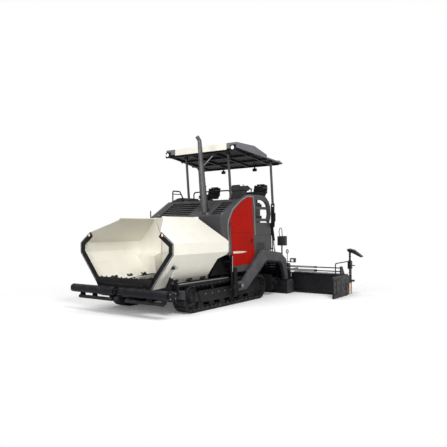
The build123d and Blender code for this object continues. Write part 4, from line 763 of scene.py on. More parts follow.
IDLER_Y, SPROCKET_Y, AXLE_Z = -2.05, 0.65, 0.3163
LOOP, TRACK_MID, FACE_X = 0.2623, 0.9525, 1.0125
RUN_SHOES, TURN_SHOES = 17, 6
RUN_PITCH, TURN_PITCH = (SPROCKET_Y - IDLER_Y) / RUN_SHOES, 0.137
ROLLER_Z, CARRIER_Z, FENDER_TOP = 0.139, 0.485, 0.664
GUARD_FACE, FRAME_FACE = 0.835, 1.0675
END_PLATE_Y, SHIELD_Y = -2.712, -2.500


def track_stations():
    """Middle, way along the chain, outward way and pitch of each shoe."""
    stations = []
    for index in range(RUN_SHOES):
        y = IDLER_Y + (index + 0.5) * RUN_PITCH
        for way in (1.0, -1.0):
            stations.append((Vector((TRACK_MID, y, AXLE_Z + way * LOOP)), Vector(BACKWARD),
                             Vector((0, 0, way)), RUN_PITCH))
    for index in range(TURN_SHOES):
        angle = (index + 0.5) * math.pi / TURN_SHOES
        for centre_y, way in ((SPROCKET_Y, 1.0), (IDLER_Y, -1.0)):
            out = Vector((0, way * math.sin(angle), math.cos(angle)))
            along = Vector((0, math.cos(angle), -way * math.sin(angle)))
            stations.append((Vector((TRACK_MID, centre_y, AXLE_Z)) + out * LOOP, along, out, TURN_PITCH))
    return stations


def chain(shape):
    """Link plates in two rows and a pin between each two shoes."""
    half_pin = Vector((0.098, 0, 0))
    for middle, along, out, pitch in track_stations():
        for side in (-1.0, 1.0):
            for share, place in ((-0.25, 0.052), (0.25, 0.078)):
                link = middle - out * 0.028 + along * pitch * share + Vector((side * place, 0, 0))
                shape.slab(link, along, ACROSS, (pitch * 0.72, 0.022, 0.05))
        pin = middle - out * 0.03 + along * pitch / 2
        shape.bar(pin - half_pin, pin + half_pin, 0.015, 8)
    return shape


def shoe_bolts(shape):
    """Four bolt ends in each shoe."""
    for middle, along, out, _ in track_stations():
        for x in (-0.115, 0.115):
            for step in (-0.028, 0.028):
                end = middle - out * 0.002 + along * step + Vector((x, 0, 0))
                shape.bar(end - out * 0.012, end, 0.011, 6)
    return shape


def hubs(shape):
    """Idler's and sprocket's hubs, each with a ring of rim nuts and one of cover bolts."""
    for centre_y, rim in ((IDLER_Y, 0.215), (SPROCKET_Y, 0.205)):
        centre = Vector((FACE_X - 0.002, centre_y, AXLE_Z))
        shape.turned(centre, ACROSS, [(0, 0), (0, rim), (0.010, rim), (0.014, rim - 0.012),
                                      (0.014, 0.165), (0.004, 0.150), (0.004, 0.112), (0.040, 0.098),
                                      (0.046, 0.090), (0.046, 0.062), (0.060, 0.056), (0.062, 0.0)], 36)
        for count, circle, face, height, radius in ((12, 0.186, 0.014, 0.010, 0.011),
                                                    (8, 0.076, 0.046, 0.008, 0.008)):
            for y, z in round_spots(count, circle):
                spot = centre + Vector((face, y, z))
                shape.bar(spot, spot + Vector((height, 0, 0)), radius, 6)
    return shape


def roller_caps(shape):
    """Caps and brackets of the six bottom rollers, and the two carrier rollers' caps."""
    for y in spread(-1.70, 0.30, 6):
        shape.turned((1.0, y, ROLLER_Z), ACROSS, [(0, 0), (0, 0.060), (0.035, 0.060), (0.040, 0.054),
                                                  (0.040, 0.030), (0.052, 0.026), (0.052, 0)], 20)
        shape.box((1.02, y - 0.045, 0.100), (1.046, y + 0.045, 0.215), 0.006)
    for y in (-1.25, -0.15):
        shape.turned((TRACK_MID + 0.06, y, CARRIER_Z), ACROSS, [(0, 0), (0, 0.045), (0.02, 0.045),
                                                                (0.026, 0.036), (0.026, 0)], 18)
    return shape


def inner_guards(shape):
    """Plates along the inner side of each track frame, which close it off from the belly."""
    shape.plate([(-1.96, 0.12), (-1.86, 0.06), (0.46, 0.06), (0.56, 0.12), (0.56, 0.47), (0.46, 0.52),
                 (-1.86, 0.52), (-1.96, 0.47)], "x", GUARD_FACE - 0.020, GUARD_FACE, 0.004)
    shape.box((0.602, -2.6, 0.30), (0.628, 1.2, 0.62), 0.004)
    for y in spread(-1.8, 0.4, 9):
        shape.bolts([(GUARD_FACE, y, 0.46), (GUARD_FACE, y, 0.11)], ACROSS, 0.012)
    return shape


def guard_bolts(shape):
    """Row of bolts along the outside of the track frame."""
    return shape.bolts([(FRAME_FACE, y, 0.36) for y in spread(-1.55, 0.15, 8)], ACROSS, 0.012)


def fender_tread(shape):
    """Ribs across each fender and a strip along it."""
    for y in spread(-2.52, -0.83, 22):
        shape.box((0.955, y - 0.012, FENDER_TOP), (1.118, y + 0.012, FENDER_TOP + 0.008), 0.003)
    return shape.box((1.020, -2.55, FENDER_TOP), (1.032, -0.79, FENDER_TOP + 0.006))


def fender_edge(shape):
    """Light grey strip over the fender's outer edge: a painted highlight along that edge."""
    shape.box((1.121, -2.56, FENDER_TOP), (1.1405, -0.78, FENDER_TOP + 0.009), 0.002)
    return shape.box((1.1395, -2.56, FENDER_TOP - 0.012), (1.1435, -0.78, FENDER_TOP + 0.008), 0.001)


def end_plates(shape):
    """Plate bolted on in front of each track."""
    shape.plate([(0.958, 0.44), (0.958, 0.532), (1.122, 0.532), (1.122, 0.36), (1.085, 0.330), (1.0, 0.330)],
                "y", END_PLATE_Y, END_PLATE_Y + 0.014, 0.004)
    return shape.bolts([(x, END_PLATE_Y, z) for x, z in ((0.985, 0.505), (1.095, 0.505), (0.985, 0.445),
                                                         (1.095, 0.445), (1.095, 0.375), (1.035, 0.375))],
                       AHEAD, 0.014, 0.012)


def track_shields(shape):
    """Light shield bolted to the fender's front, ahead of each track."""
    shape.box((0.955, SHIELD_Y, 0.345), (1.240, SHIELD_Y + 0.018, 0.535), 0.006)
    for x in (0.970, 1.090):
        shape.box((x, SHIELD_Y - 0.070, 0.485), (x + 0.030, SHIELD_Y + 0.010, 0.525), 0.003)
    spots = [(x, SHIELD_Y, z) for x in (1.015, 1.190) for z in (0.385, 0.495)]
    return shape.bolts(spots, AHEAD, 0.016, 0.012)


each_side(chain, "track_chain", "root", "track_steel", TRACK)
each_side(shoe_bolts, "shoe_nuts", "root", "track_steel", ZINC)
each_side(hubs, "wheel_hubs", "root", "dark_steel", DARK)
each_side(roller_caps, "roller_caps", "root", "dark_steel", DARK)
each_side(inner_guards, "track_guards", "root", "dark_steel", TRACK)
each_side(guard_bolts, "guard_bolts", "root", "dark_steel", ZINC)
each_side(fender_tread, "fender_tread", "root", "black_paint", BLACK)
each_side(fender_edge, "fender_edge", "root", "grey_paint", EDGE_GREY)
each_side(end_plates, "end_plates", "root", "track_steel", PLATE)
each_side(track_shields, "track_shields", "root", "track_steel", PLATE)

# ---- hopper --------------------------------------------------------------------------------

FLAP_LINE = [(WING_FOOT_X, WING_FOOT_Z), (1.396, 1.288), (1.396, 1.519), (1.076, 1.754)]
FLAP_FACE, STRIP_FACE = -2.999, -3.008
APRON_FACE, APRON_BAR_FACE = -3.050, -3.053
SHIELD_FACE = -1.128


def flap_strip(shape):
    """Steel strip that clamps the flap along its outer edge."""
    return shape.plate(band(FLAP_LINE, 0.004, 0.030), "y", STRIP_FACE, FLAP_FACE, 0.002)


def flap_bolts(shape):
    """Bolts along the clamping strip, about 0.13 m apart."""
    line = offset_line(FLAP_LINE, 0.018)
    for start, end in zip(line, line[1:]):
        count = max(int((end - start).length / 0.13), 2)
        for share in spread(0.0, 1.0, count + 2)[1:-1]:
            place = start.lerp(end, share)
            shape.bolts([(place.x, STRIP_FACE, place.y)], AHEAD, 0.010, 0.008)
    return shape


def flap_lip(shape):
    """Second, narrower layer of rubber that gives the flap its thick inner edge."""
    return shape.plate(band(FLAP_LINE, 0.100, 0.129), "y", -3.006, FLAP_FACE, 0.002)


def flap_reflector(shape):
    """Small reflector on the flap's upper corner."""
    return shape.box((1.078, -3.012, 1.655), (1.118, FLAP_FACE, 1.705), 0.003)


def wing_lip(shape):
    """Folded lip along the wing's front edge."""
    return shape.plate(band(FLAP_LINE, -0.0005, 0.006), "y", FLAP_FACE, -2.955, 0.001)


def apron_rubber(shape):
    """Worn rubber sheet on the apron, ragged along its top."""
    top = [(0.84 - index * 0.028, 0.787 + 0.016 * math.sin(index * 2.3) + 0.012 * math.sin(index * 5.1 + 1.0))
           for index in range(61)]
    outline = [(-0.78, 0.625), (0.78, 0.625), (0.85, 0.76)] + top + [(-0.85, 0.76)]
    return shape.plate(outline, "y", APRON_FACE, APRON_FACE + 0.011, 0.002)


def apron_bar(shape):
    """Bar that clamps the rubber sheet to the apron."""
    shape.box((-0.60, APRON_BAR_FACE, 0.632), (0.60, APRON_FACE + 0.001, 0.668), 0.001)
    return shape.bolts([(x, APRON_BAR_FACE, 0.650) for x in spread(-0.56, 0.56, 11)], AHEAD, 0.011, 0.004)


def conveyor_chain(shape):
    """Chains along both sides of the two slat conveyors."""
    for x in (0.052, 0.508):
        for y in spread(-2.9, CONVEYOR_END_Y, 34):
            shape.box((x - 0.012, y - 0.019, 0.540), (x + 0.012, y + 0.019, 0.566), 0.003)
            shape.bar((x - 0.022, y, 0.552), (x + 0.022, y, 0.552), 0.008, 8)
    return shape


def tunnel_curtain(shape):
    """Backing sheet and ten rubber strips that hang inside the tunnel's mouth."""
    shape.box((-0.52, -0.995, 0.545), (0.52, -0.985, 0.955))
    for x in spread(-0.45, 0.45, 10):
        shape.box((x - 0.042, -1.004, 0.60), (x + 0.042, -0.992, 0.95), 0.004)
    return shape


def barrel_dress(shape, foot, eye, out, gland, bands, stations, port, line):
    """Dress of a cylinder's barrel: gland, clamp bands, two ports and the steel line between them.

    gland is (distance, profile), bands (distances, inner radius, outer radius), stations the distances of
    the line's points, port (start, end, radius) and line (stand-off, radius, bend).
    """
    way = (eye - foot).normalized()
    shape.turned(foot + way * gland[0], way, gland[1])
    distances, inner, outer = bands
    for distance in distances:
        shape.ring(foot + way * distance, way, inner, outer, 0.014)
    for distance in (stations[0], stations[-1]):
        spot = foot + way * distance
        shape.bar(spot + out * port[0], spot + out * port[1], port[2], 12)
    return shape.tube([foot + way * distance + out * line[0] for distance in reversed(stations)], *line[1:])


def hopper_cylinder_dress(shape):
    """Dress of the cylinder that folds a wing."""
    gland = 0.250, [(0, 0.0405), (0, 0.045), (0.030, 0.045), (0.034, 0.040), (0.034, 0.0245)]
    return barrel_dress(shape, Vector((1.010, -2.780, 0.560)), Vector((1.235, -2.780, 1.020)), Vector(AHEAD),
                        gland, ((0.075, 0.215), 0.0402, 0.0435), (0.085, 0.150, 0.225),
                        (0.038, 0.062, 0.011), (0.058, 0.008, 0.02))


def wing_return(shape):
    """Plate that closes the wing's end wall back to the hopper's rear wall."""
    return shape.plate([(-1.322, 0.735), (-1.376, 1.136), (-1.132, 1.218), (-1.118, 1.150), (-1.118, 0.735)],
                       "x", 0.634, 0.642, 0.001)


def back_strips(shape):
    """Cover strips behind the joints between the rear wall and the wings' end walls."""
    line = [(-1.110, 1.235), (-1.110, 1.560), (-1.335, 2.080)]
    return shape.plate(band(line, -0.007, -0.001), "x", 0.585, 0.690, 0.001)


def tunnel_shield(shape):
    """Cream limit plate bolted over the upper part of the tunnel's mouth."""
    shape.box((-0.53, SHIELD_FACE, 0.70), (0.53, SHIELD_FACE + 0.016, 0.96), 0.003)
    return shape.bolts([(x, SHIELD_FACE, 0.935) for x in spread(-0.49, 0.49, 9)], AHEAD, 0.011, 0.008)


each_side(flap_strip, "flap_strip", "wing_{side}", "grey_paint", EDGE_GREY)
each_side(flap_bolts, "flap_bolts", "wing_{side}", "dark_steel", ZINC)
each_side(flap_lip, "flap_lip", "wing_{side}", "rubber", RUBBER)
each_side(flap_reflector, "flap_reflector", "wing_{side}", "cream_paint", AMBER)
each_side(wing_lip, "wing_lip", "wing_{side}", "cream_paint", CREAM)
apron_rubber(Shape()).done("apron_rubber", "apron", "rubber", RUBBER)
apron_bar(Shape()).done("apron_bar", "apron", "dark_steel", DARK)
each_side(conveyor_chain, "conveyor_chain", "root", "dark_steel", DARK)
tunnel_curtain(Shape()).done("tunnel_curtain", "root", "rubber", RUBBER)
each_side(hopper_cylinder_dress, "hopper_cylinder_dress", "hopper_cylinder_{side}", "black_paint", BLACK)
each_side(wing_return, "wing_return", "wing_{side}", "cream_paint", CREAM_IN)
each_side(back_strips, "hopper_back_strips", "root", "cream_paint", CREAM_IN)
tunnel_shield(Shape()).done("tunnel_shield", "root", "cream_paint", CREAM_IN)

# ---- push beam -----------------------------------------------------------------------------

BRACKET_FACE = 1.470
HITCH = Vector((0, -3.20, 0.35))


def push_beam_bolts(shape):
    """Bolts of the roller brackets and along the beam's front."""
    shape.bolts([(BRACKET_FACE, y, z) for z in (0.46, 0.555) for y in (-3.20, -3.04)], ACROSS, 0.010, 0.008)
    return shape.bolts([(x, -3.055, 0.425) for x in spread(0.12, 1.12, 7)], AHEAD, 0.012, 0.009)


def hitch_ring(shape):
    """Two ring plates and the pin through them at the middle of the beam."""
    eye = [(0, 0.026), (0, 0.048), (0.022, 0.048), (0.022, 0.026), (0, 0.026)]
    for x in (-0.045, 0.023):
        shape.turned(HITCH + Vector((x, 0, 0)), ACROSS, eye, 28)
    return shape.bar(HITCH - Vector((0.052, 0, 0)), HITCH + Vector((0.052, 0, 0)), 0.0235, 20, edge=0.003)


each_side(push_beam_bolts, "push_beam_bolts", "push_beam", "dark_steel", ZINC)
hitch_ring(Shape()).done("hitch_ring", "push_beam", "dark_steel", DARK)

# ---- engine body ---------------------------------------------------------------------------

SIDE_X = 1.130
MOULD_LINE = [(-0.70, 1.08), (-0.735, 1.40), (-0.794, 1.80), (-0.765, 2.006), (-0.58, 2.276), (-0.198, 2.515),
              (0.086, 2.628), (0.38, 2.632), (0.435, 2.336), (0.462, 1.636)]
VENT_LOW, VENT_HIGH, VENT_RIM = (0.50, 1.232), (0.90, 1.446), 0.014
VENT_SLATS = 6
SEAM_DEPTH, SEAM_STAND = 0.002, 0.0012
DOOR_BACK = 1.092
HOOD_LOW, HOOD_HIGH = Vector((0, -1.0, 2.10)), Vector((0, -0.30, 2.52))
HOOD_LENGTH = (HOOD_HIGH - HOOD_LOW).length
HOOD_WAY = (HOOD_HIGH - HOOD_LOW).normalized()
HOOD_OUT = Vector((0, -HOOD_WAY.z, HOOD_WAY.y))
GRILLE_LOW, GRILLE_HIGH = 0.06 / 0.70, 0.61 / 0.70
GRILLES = ((-0.85, 0.10), (0.74, 1.04))
LOUVRES = 6
STACK_FOOT, STACK_TOP = Vector((0.480, -0.790, 2.190)), Vector((0.480, -0.990, 3.910))
STACK_MOUTH = Vector((0.450, -1.050, 4.010))
STACK_FOOT_RADIUS, STACK_TOP_RADIUS = 0.084, 0.048


def side_moulding(shape):
    """Raised lighter rib that frames the side door."""
    return shape.plate(band(MOULD_LINE, -0.042, 0.0), "x", SIDE_X - 0.004, SIDE_X + 0.009, 0.004)


def side_seams(shape):
    """Seams on the fixed parts of the body's side, and the vent panel's slats."""
    for low, high in (((0.49, 1.627), (1.245, 1.634)), ((-0.98, 1.560), (-0.80, 1.566)),
                      ((0.955, 1.24), (0.961, 1.627))):
        shape.box((SIDE_X - SEAM_DEPTH, *low), (SIDE_X + SEAM_STAND, *high))
    for index in range(VENT_SLATS):
        z = 1.262 + index * 0.030
        shape.slab((SIDE_X + 0.002, 0.70, z), BACKWARD, (0.8, 0, 0.6), (0.34, 0.016, 0.003))
    return shape


def side_vents(shape):
    """Frame of the vent panel and the bolts of the panels round it."""
    (left, low), (far, high) = VENT_LOW, VENT_HIGH
    for start, end in (((left, low), (far, low + VENT_RIM)), ((left, high - VENT_RIM), (far, high)),
                       ((left, low), (left + VENT_RIM, high)), ((far - VENT_RIM, low), (far, high))):
        shape.box((SIDE_X - 0.002, *start), (SIDE_X + 0.006, *end), 0.0015)
    spots = [(y, z) for y in (-0.95, -0.85) for z in (1.25, 1.50, 1.62, 1.90)]
    spots += [(y, 1.90) for y in (0.55, 0.75, 0.95, 1.15)] + [(y, 1.66) for y in (0.55, 0.85, 1.15)]
    return shape.bolts([(SIDE_X, *spot) for spot in spots], ACROSS, 0.009, 0.006)


def door_seam(shape):
    """Dark joint across the door with its latch."""
    shape.box((SIDE_X - SEAM_DEPTH, -0.632, 1.697), (SIDE_X + SEAM_STAND, 0.377, 1.705))
    shape.box((SIDE_X - 0.001, 0.255, 1.44), (SIDE_X + 0.006, 0.335, 1.56), 0.003)
    shape.box((SIDE_X + 0.004, 0.270, 1.47), (SIDE_X + 0.016, 0.320, 1.515), 0.004)
    return shape.turned((SIDE_X + 0.006, 0.295, 1.535), ACROSS,
                        [(0, 0), (0, 0.011), (0.004, 0.010), (0.004, 0)], 16)


def door_stripe(shape):
    """Pale stripe low on the door, pointed at its rear end."""
    return shape.plate([(-0.545, 1.205), (-0.55, 1.262), (-0.10, 1.252), (0.06, 1.232), (-0.10, 1.208)], "x",
                       SIDE_X - 0.001, SIDE_X + SEAM_STAND)


def door_ribs(shape):
    """Stiffeners on the back of the door."""
    for front, rear, low in ((-0.40, 0.20, 1.10), (-0.45, 0.22, 1.60), (-0.40, 0.18, 2.05)):
        shape.box((DOOR_BACK, front, low), (DOOR_BACK + 0.009, rear, low + 0.03), 0.003)
    return shape


def on_hood(x, share, height=0.0):
    """Point on the hood's slope at a place across it and a share of the way up."""
    return HOOD_LOW.lerp(HOOD_HIGH, share) + HOOD_OUT * height + Vector((x, 0, 0))


def grille_frames(shape):
    """Raised frames round the two grilles, with their hinges, and a rib beside each."""
    middle = (GRILLE_LOW + GRILLE_HIGH) / 2
    for left, right in GRILLES:
        for share in (GRILLE_LOW - 0.018, GRILLE_HIGH + 0.018):
            shape.slab(on_hood((left + right) / 2, share, 0.004), ACROSS, HOOD_WAY,
                       (right - left + 0.05, 0.026, 0.014), 0.003)
        for x in (left - 0.013, right + 0.013):
            shape.slab(on_hood(x, middle, 0.004), HOOD_WAY, ACROSS,
                       (HOOD_LENGTH * (GRILLE_HIGH - GRILLE_LOW) + 0.05, 0.026, 0.014), 0.003)
        for x in (left + 0.12, right - 0.12):
            shape.slab(on_hood(x, GRILLE_HIGH + 0.045, 0.006), ACROSS, HOOD_WAY, (0.07, 0.04, 0.016), 0.004)
    for x, length in ((0.42, 0.62), (-0.96, 0.70)):
        shape.slab(on_hood(x, 0.5, 0.003), HOOD_WAY, ACROSS, (length, 0.012, 0.006), 0.002)
    return shape


def grille_slats_and_shade_screen(shape):
    """Fine slats between the louvres, and a dark screen below them that is painted shade inside the grille.
    """
    for left, right in GRILLES:
        for share in spread(GRILLE_LOW, GRILLE_HIGH, LOUVRES + 1):
            shape.slab(on_hood((left + right) / 2, share, -0.030), ACROSS, HOOD_WAY,
                       (right - left, 0.010, 0.020))
        # Dark screen under the louvres: painted shade inside the grille.
        shape.slab(on_hood((left + right) / 2, 0.48, -0.060), ACROSS, HOOD_WAY, (right - left, 0.66, 0.004))
    return shape


def louvre_lips(shape):
    """Painted lips along the louvres of both grilles."""
    for left, right in GRILLES:
        for index in range(LOUVRES):
            share = GRILLE_LOW + (GRILLE_HIGH - GRILLE_LOW) * (index + 0.5) / LOUVRES + 0.048
            shape.slab(on_hood((left + right) / 2, share, -0.008), ACROSS, HOOD_WAY,
                       (right - left, 0.030, 0.008), 0.002)
    return shape


def hood_caps(shape):
    """Filler cap and two plugs on the hood."""
    cap = [(-0.004, 0), (-0.004, 0.046), (0.010, 0.046), (0.014, 0.040), (0.014, 0.034), (0.034, 0.034),
           (0.038, 0.028), (0.038, 0.0)]
    plug = [(-0.003, 0), (-0.003, 0.022), (0.014, 0.022), (0.017, 0.016), (0.017, 0)]
    shape.turned(on_hood(0.66, 0.10), HOOD_OUT, cap, 28)
    for x in (-0.92, 1.075):
        shape.turned(on_hood(x, 0.12), HOOD_OUT, plug, 18)
    return shape


def exhaust_clamps(shape):
    """Clamp bands and foot flange of the exhaust stack."""
    way, length = (STACK_TOP - STACK_FOOT).normalized(), (STACK_TOP - STACK_FOOT).length
    for distance in (0.10, 0.62, 1.20):
        radius = STACK_FOOT_RADIUS + (STACK_TOP_RADIUS - STACK_FOOT_RADIUS) * distance / length
        spot = STACK_FOOT + way * distance
        shape.turned(spot, way, [(0, radius - 0.002), (0, radius + 0.006), (0.024, radius + 0.006),
                                 (0.024, radius - 0.003)], 32)
        shape.box(spot + Vector((radius, -0.012, 0.002)), spot + Vector((radius + 0.026, 0.012, 0.022)),
                  0.002)
    base = on_hood(0.48, 0.30)
    shape.turned(base, HOOD_OUT, [(-0.004, 0.090), (-0.004, 0.150), (0.008, 0.150), (0.012, 0.144),
                                  (0.012, 0.090)], 36)
    for across, along in round_spots(8, 0.128):
        place = base + Vector((across, 0, 0)) + HOOD_WAY * along + HOOD_OUT * 0.010
        shape.bolts([place], HOOD_OUT, 0.008, 0.007)
    return shape


def exhaust_mouth(shape):
    """Dark bore and rim of the stack's bent tip."""
    return shape.turned(STACK_MOUTH, STACK_MOUTH - STACK_TOP, [(-0.030, 0.0459), (0.0, 0.0459), (0.0, 0.040),
                                                               (-0.080, 0.040), (-0.082, 0.0)], 28)


each_side(side_moulding, "side_moulding", "root", "grey_paint", EDGE_GREY)
each_side(side_seams, "side_seams", "root", "black_paint", BLACK)
each_side(side_vents, "side_vents", "root", "grey_paint", GREY)
each_side(door_seam, "door_seam", "door_{side}", "black_paint", BLACK)
each_side(door_stripe, "door_stripe", "door_{side}", "cream_paint", STRIPE)
each_side(door_ribs, "door_ribs", "door_{side}", "red_paint", RED)
grille_frames(Shape()).done("grille_frames", "root", "grey_paint", GREY)
grille_slats_and_shade_screen(Shape()).done("grille_slats_and_shade_screen", "root", "black_paint", GRILLE)
louvre_lips(Shape()).done("louvre_lips", "root", "grey_paint", GREY)
hood_caps(Shape()).done("hood_caps", "root", "exhaust_metal", ZINC)
exhaust_clamps(Shape()).done("exhaust_clamps", "root", "exhaust_metal", EXHAUST)
exhaust_mouth(Shape()).done("exhaust_mouth", "root", "exhaust_metal", DARK)

# ---- roof ----------------------------------------------------------------------------------

ROOF_WAY = (0, 1, -ROOF_FALL)
ROOF_LENGTH, ROOF_DROP, ROOF_FLARE = 1.88, 0.22, 0.21
ROOF_LAMP = Vector((1.043, -0.4245, 3.765))
WORK_LAMPS, WORK_LAMP_Y = (-0.53, 0.53), 1.42


def roof_under(y):
    """Height of the roof's underside."""
    return ROOF_UNDER_Z - (y - ROOF_FRONT_Y) * ROOF_DROP / ROOF_LENGTH


def roof_lamp_ring(shape):
    """Bezel of the lamp in the roof's front corner."""
    return shape.turned(ROOF_LAMP, AHEAD, [(0, 0.0548), (0.005, 0.0548), (0.007, 0.050), (0.003, 0.046),
                                           (0.0, 0.046)], 32)


def roof_lamp_glass(shape):
    """Domed glass inside that bezel."""
    return shape.turned(ROOF_LAMP, AHEAD, [(0.0, 0.0462), (0.003, 0.044), (0.0055, 0.030), (0.0065, 0.0)], 32)


def roof_frame(shape):
    """Beams and ribs under the roof."""
    for y in (-0.26, 0.30, 0.86, 1.42):
        half = 1.09 + (y - ROOF_FRONT_Y) * ROOF_FLARE / ROOF_LENGTH
        shape.box((-half, y - 0.025, roof_under(y) - 0.042), (half, y + 0.025, roof_under(y) + 0.004), 0.004)
    for x in (-1.05, -0.35, 0.35, 1.05):
        shape.slab((x, 0.58, roof_under(0.58) - 0.018), ROOF_WAY, ACROSS, (1.70, 0.045, 0.044), 0.004)
    return shape


def roof_ribs(shape):
    """Shallow pressed ribs on the roof and the raised ends of its side boxes."""
    for x in (-0.62, -0.31, 0.0, 0.31, 0.62):
        shape.slab((x, 0.72, roof_under(0.72) + 0.048), ROOF_WAY, ACROSS, (1.30, 0.07, 0.018), 0.006)
    for x in (-1.255, 1.255):
        shape.slab((x, 1.46, roof_under(1.46) + 0.060), ROOF_WAY, ACROSS, (0.11, 0.09, 0.05), 0.010)
    return shape


def work_lamps(shape):
    """Work lamps under the rear edge of the roof."""
    z = roof_under(WORK_LAMP_Y) - 0.042
    for x in WORK_LAMPS:
        shape.box((x - 0.012, 1.40, z - 0.04), (x + 0.012, 1.44, z), 0.002)
        shape.box((x - 0.055, 1.385, z - 0.115), (x + 0.055, 1.455, z - 0.035), 0.010)
    return shape


def work_lamp_glass(shape):
    """Panes on the rear of both work lamps."""
    z = roof_under(WORK_LAMP_Y)
    for x in WORK_LAMPS:
        shape.box((x - 0.045, 1.454, z - 0.148), (x + 0.045, 1.460, z - 0.086), 0.002)
    return shape


def roof_brace(shape):
    """Pale gas strut that holds up the middle of the roof's frame."""
    rod_end, joint, foot = ((x, y, roof_under(y) - drop) for x, y, drop in
                            ((-0.86, 0.84, 0.055), (-0.30, 0.34, 0.055), (0.22, -0.12, 0.050)))
    return shape.bar(rod_end, joint, 0.011, 14).bar(joint, foot, 0.017, 14)


each_side(roof_lamp_ring, "roof_lamp_ring", "roof", "black_paint", BLACK)
each_side(roof_lamp_glass, "roof_lamp_glass", "roof", "exhaust_metal", LENS)
roof_frame(Shape()).done("roof_frame", "roof", "black_paint", BLACK)
roof_ribs(Shape()).done("roof_ribs", "roof", "roof_shell", ROOF)
work_lamps(Shape()).done("work_lamps", "roof", "black_paint", BLACK)
work_lamp_glass(Shape()).done("work_lamp_glass", "roof", "exhaust_metal", LENS)
roof_brace(Shape()).done("roof_brace", "roof", "cylinder_rod", TUBE)

# ---- seats ---------------------------------------------------------------------------------

SEAT_MID = Vector((0.78, 1.04, 0.0))
BACK_WAY = Vector((0, 0.311, 0.950)).normalized()
BACK_MID = Vector((0.78, 1.2775, 2.868))
ARMREST_OUT, SLIDE_OUT = 0.247, 0.17
CUSHION_BOLSTER, BACK_BOLSTER = 0.145, 0.130
SKIN_SIZE, BLOWN_STEPS, BLOWN_LIMIT = 0.006, 20, 0.024


def evaluated(pad):
    """The mesh that a padded piece's modifiers make of it."""
    bpy.context.view_layer.update()
    graph = bpy.context.evaluated_depsgraph_get()
    return bpy.data.meshes.new_from_object(pad.evaluated_get(graph))


def blow_up(pad, seams):
    """Skins a padded piece, blows it up a little as cloth and sews it along its seams."""
    skin = pad.modifiers.new("skin", "REMESH")
    skin.mode = "VOXEL"
    skin.voxel_size = SKIN_SIZE
    skinned = evaluated(pad)
    pad.modifiers.clear()
    pad.data = skinned
    rest = [vertex.co.copy() for vertex in skinned.vertices]
    cloth = pad.modifiers.new("fill", "CLOTH")
    cloth.settings.use_pressure = True
    cloth.settings.uniform_pressure_force = 4.0
    cloth.settings.effector_weights.gravity = 0.0
    for step in range(1, BLOWN_STEPS + 1):
        bpy.context.scene.frame_set(step)
    blown = evaluated(pad)
    pad.modifiers.clear()
    for vertex, start in zip(blown.vertices, rest):
        move = vertex.co - start
        vertex.co = start + move * min(1.0, BLOWN_LIMIT / max(move.length, 0.000001))
    bpy.context.scene.frame_set(1)
    sewn = bmesh.new()
    sewn.from_mesh(blown)
    bmesh.ops.smooth_vert(sewn, verts=sewn.verts[:], factor=0.5, use_axis_x=True, use_axis_y=True,
                          use_axis_z=True)
    for vertex in sewn.verts:
        vertex.co = vertex.co - vertex.normal * seams(vertex.co)
    pad.data = bpy.data.meshes.new(pad.name)
    sewn.to_mesh(pad.data)
    sewn.free()


def padded_piece(name, shape, seams, side):
    """Padded piece of seat cloth that stands for the frame's own seat."""
    mesh = bpy.data.meshes.new(name)
    shape.mesh.to_mesh(mesh)
    shape.mesh.free()
    pad = bpy.data.objects.new(name, mesh)
    bpy.context.scene.collection.objects.link(pad)
    blow_up(pad, seams)
    smooth = pad.modifiers.new("smooth", "SUBSURF")
    smooth.levels = smooth.render_levels = 1
    pad.data.materials.clear()
    pad.data.materials.append(CLOTH)
    pad.data.shade_smooth()
    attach(pad, f"seat_{side}")
    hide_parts(f"seat_{side}")


def groove(distance, depth=0.007, width=0.010):
    """Depth of a sewn channel at a distance from its middle."""
    return depth * math.exp(-(distance / width) ** 2)


def cushion_seams(point):
    """Channels along both bolsters and across the front of a cushion."""
    across, forth = abs(abs(point.x) - SEAT_MID.x), point.y - SEAT_MID.y
    front = groove(forth + 0.145) if across < CUSHION_BOLSTER else 0.0
    return groove(across - CUSHION_BOLSTER) + front


def back_seams(point):
    """Channels along both bolsters and across the top of a seat's back."""
    across, rise = abs(abs(point.x) - SEAT_MID.x), (point - BACK_MID).dot(BACK_WAY)
    top = groove(rise - 0.065) if across < BACK_BOLSTER else 0.0
    return groove(across - BACK_BOLSTER) + top


def seat_shell(shape):
    """Moulded shell behind the back, armrests, slides and lever."""
    shape.slab(BACK_MID + Vector((0, 0.050, -0.016)), BACK_WAY, ACROSS, (0.25, 0.37, 0.018), 0.008)
    head = BACK_MID + BACK_WAY * 0.128 + Vector((0, 0.012, 0))
    shape.slab(head, BACK_WAY, ACROSS, (0.028, 0.24, 0.056), 0.012)
    for way in (-1.0, 1.0):
        arm, slide = SEAT_MID.x + way * ARMREST_OUT, SEAT_MID.x + way * SLIDE_OUT
        shape.box((arm - 0.022, 1.015, 2.868), (arm + 0.022, 1.245, 2.902), 0.012)
        shape.slab((arm, 1.225, 2.835), (0, 0.25, 0.97), ACROSS, (0.12, 0.018, 0.035), 0.004)
        shape.box((arm - 0.011, 1.19, 2.735), (arm + 0.011, 1.235, 2.79), 0.004)
        shape.box((slide - 0.018, 0.85, 2.655), (slide + 0.018, 1.23, 2.672), 0.003)
    shape.bar((SEAT_MID.x + 0.15, 0.86, 2.662), (SEAT_MID.x + 0.235, 0.84, 2.662), 0.007, 10)
    return shape.box((SEAT_MID.x + 0.225, 0.822, 2.655), (SEAT_MID.x + 0.25, 0.855, 2.670), 0.004)


for side, sign in SIDES:
    cushion = Shape().box((0.552, 0.812, 2.682), (1.008, 1.268, 2.750), 0.030).flipped(sign)
    padded_piece(f"seat_cushion_{side}", cushion, cushion_seams, side)
    back_pad = Shape().slab(BACK_MID, BACK_WAY, ACROSS, (0.245, 0.405, 0.062), 0.026).flipped(sign)
    padded_piece(f"seat_back_{side}", back_pad, back_seams, side)
each_side(seat_shell, "seat_shell", "seat_{side}", "console_plastic", PLASTIC)

# ---- console -------------------------------------------------------------------------------

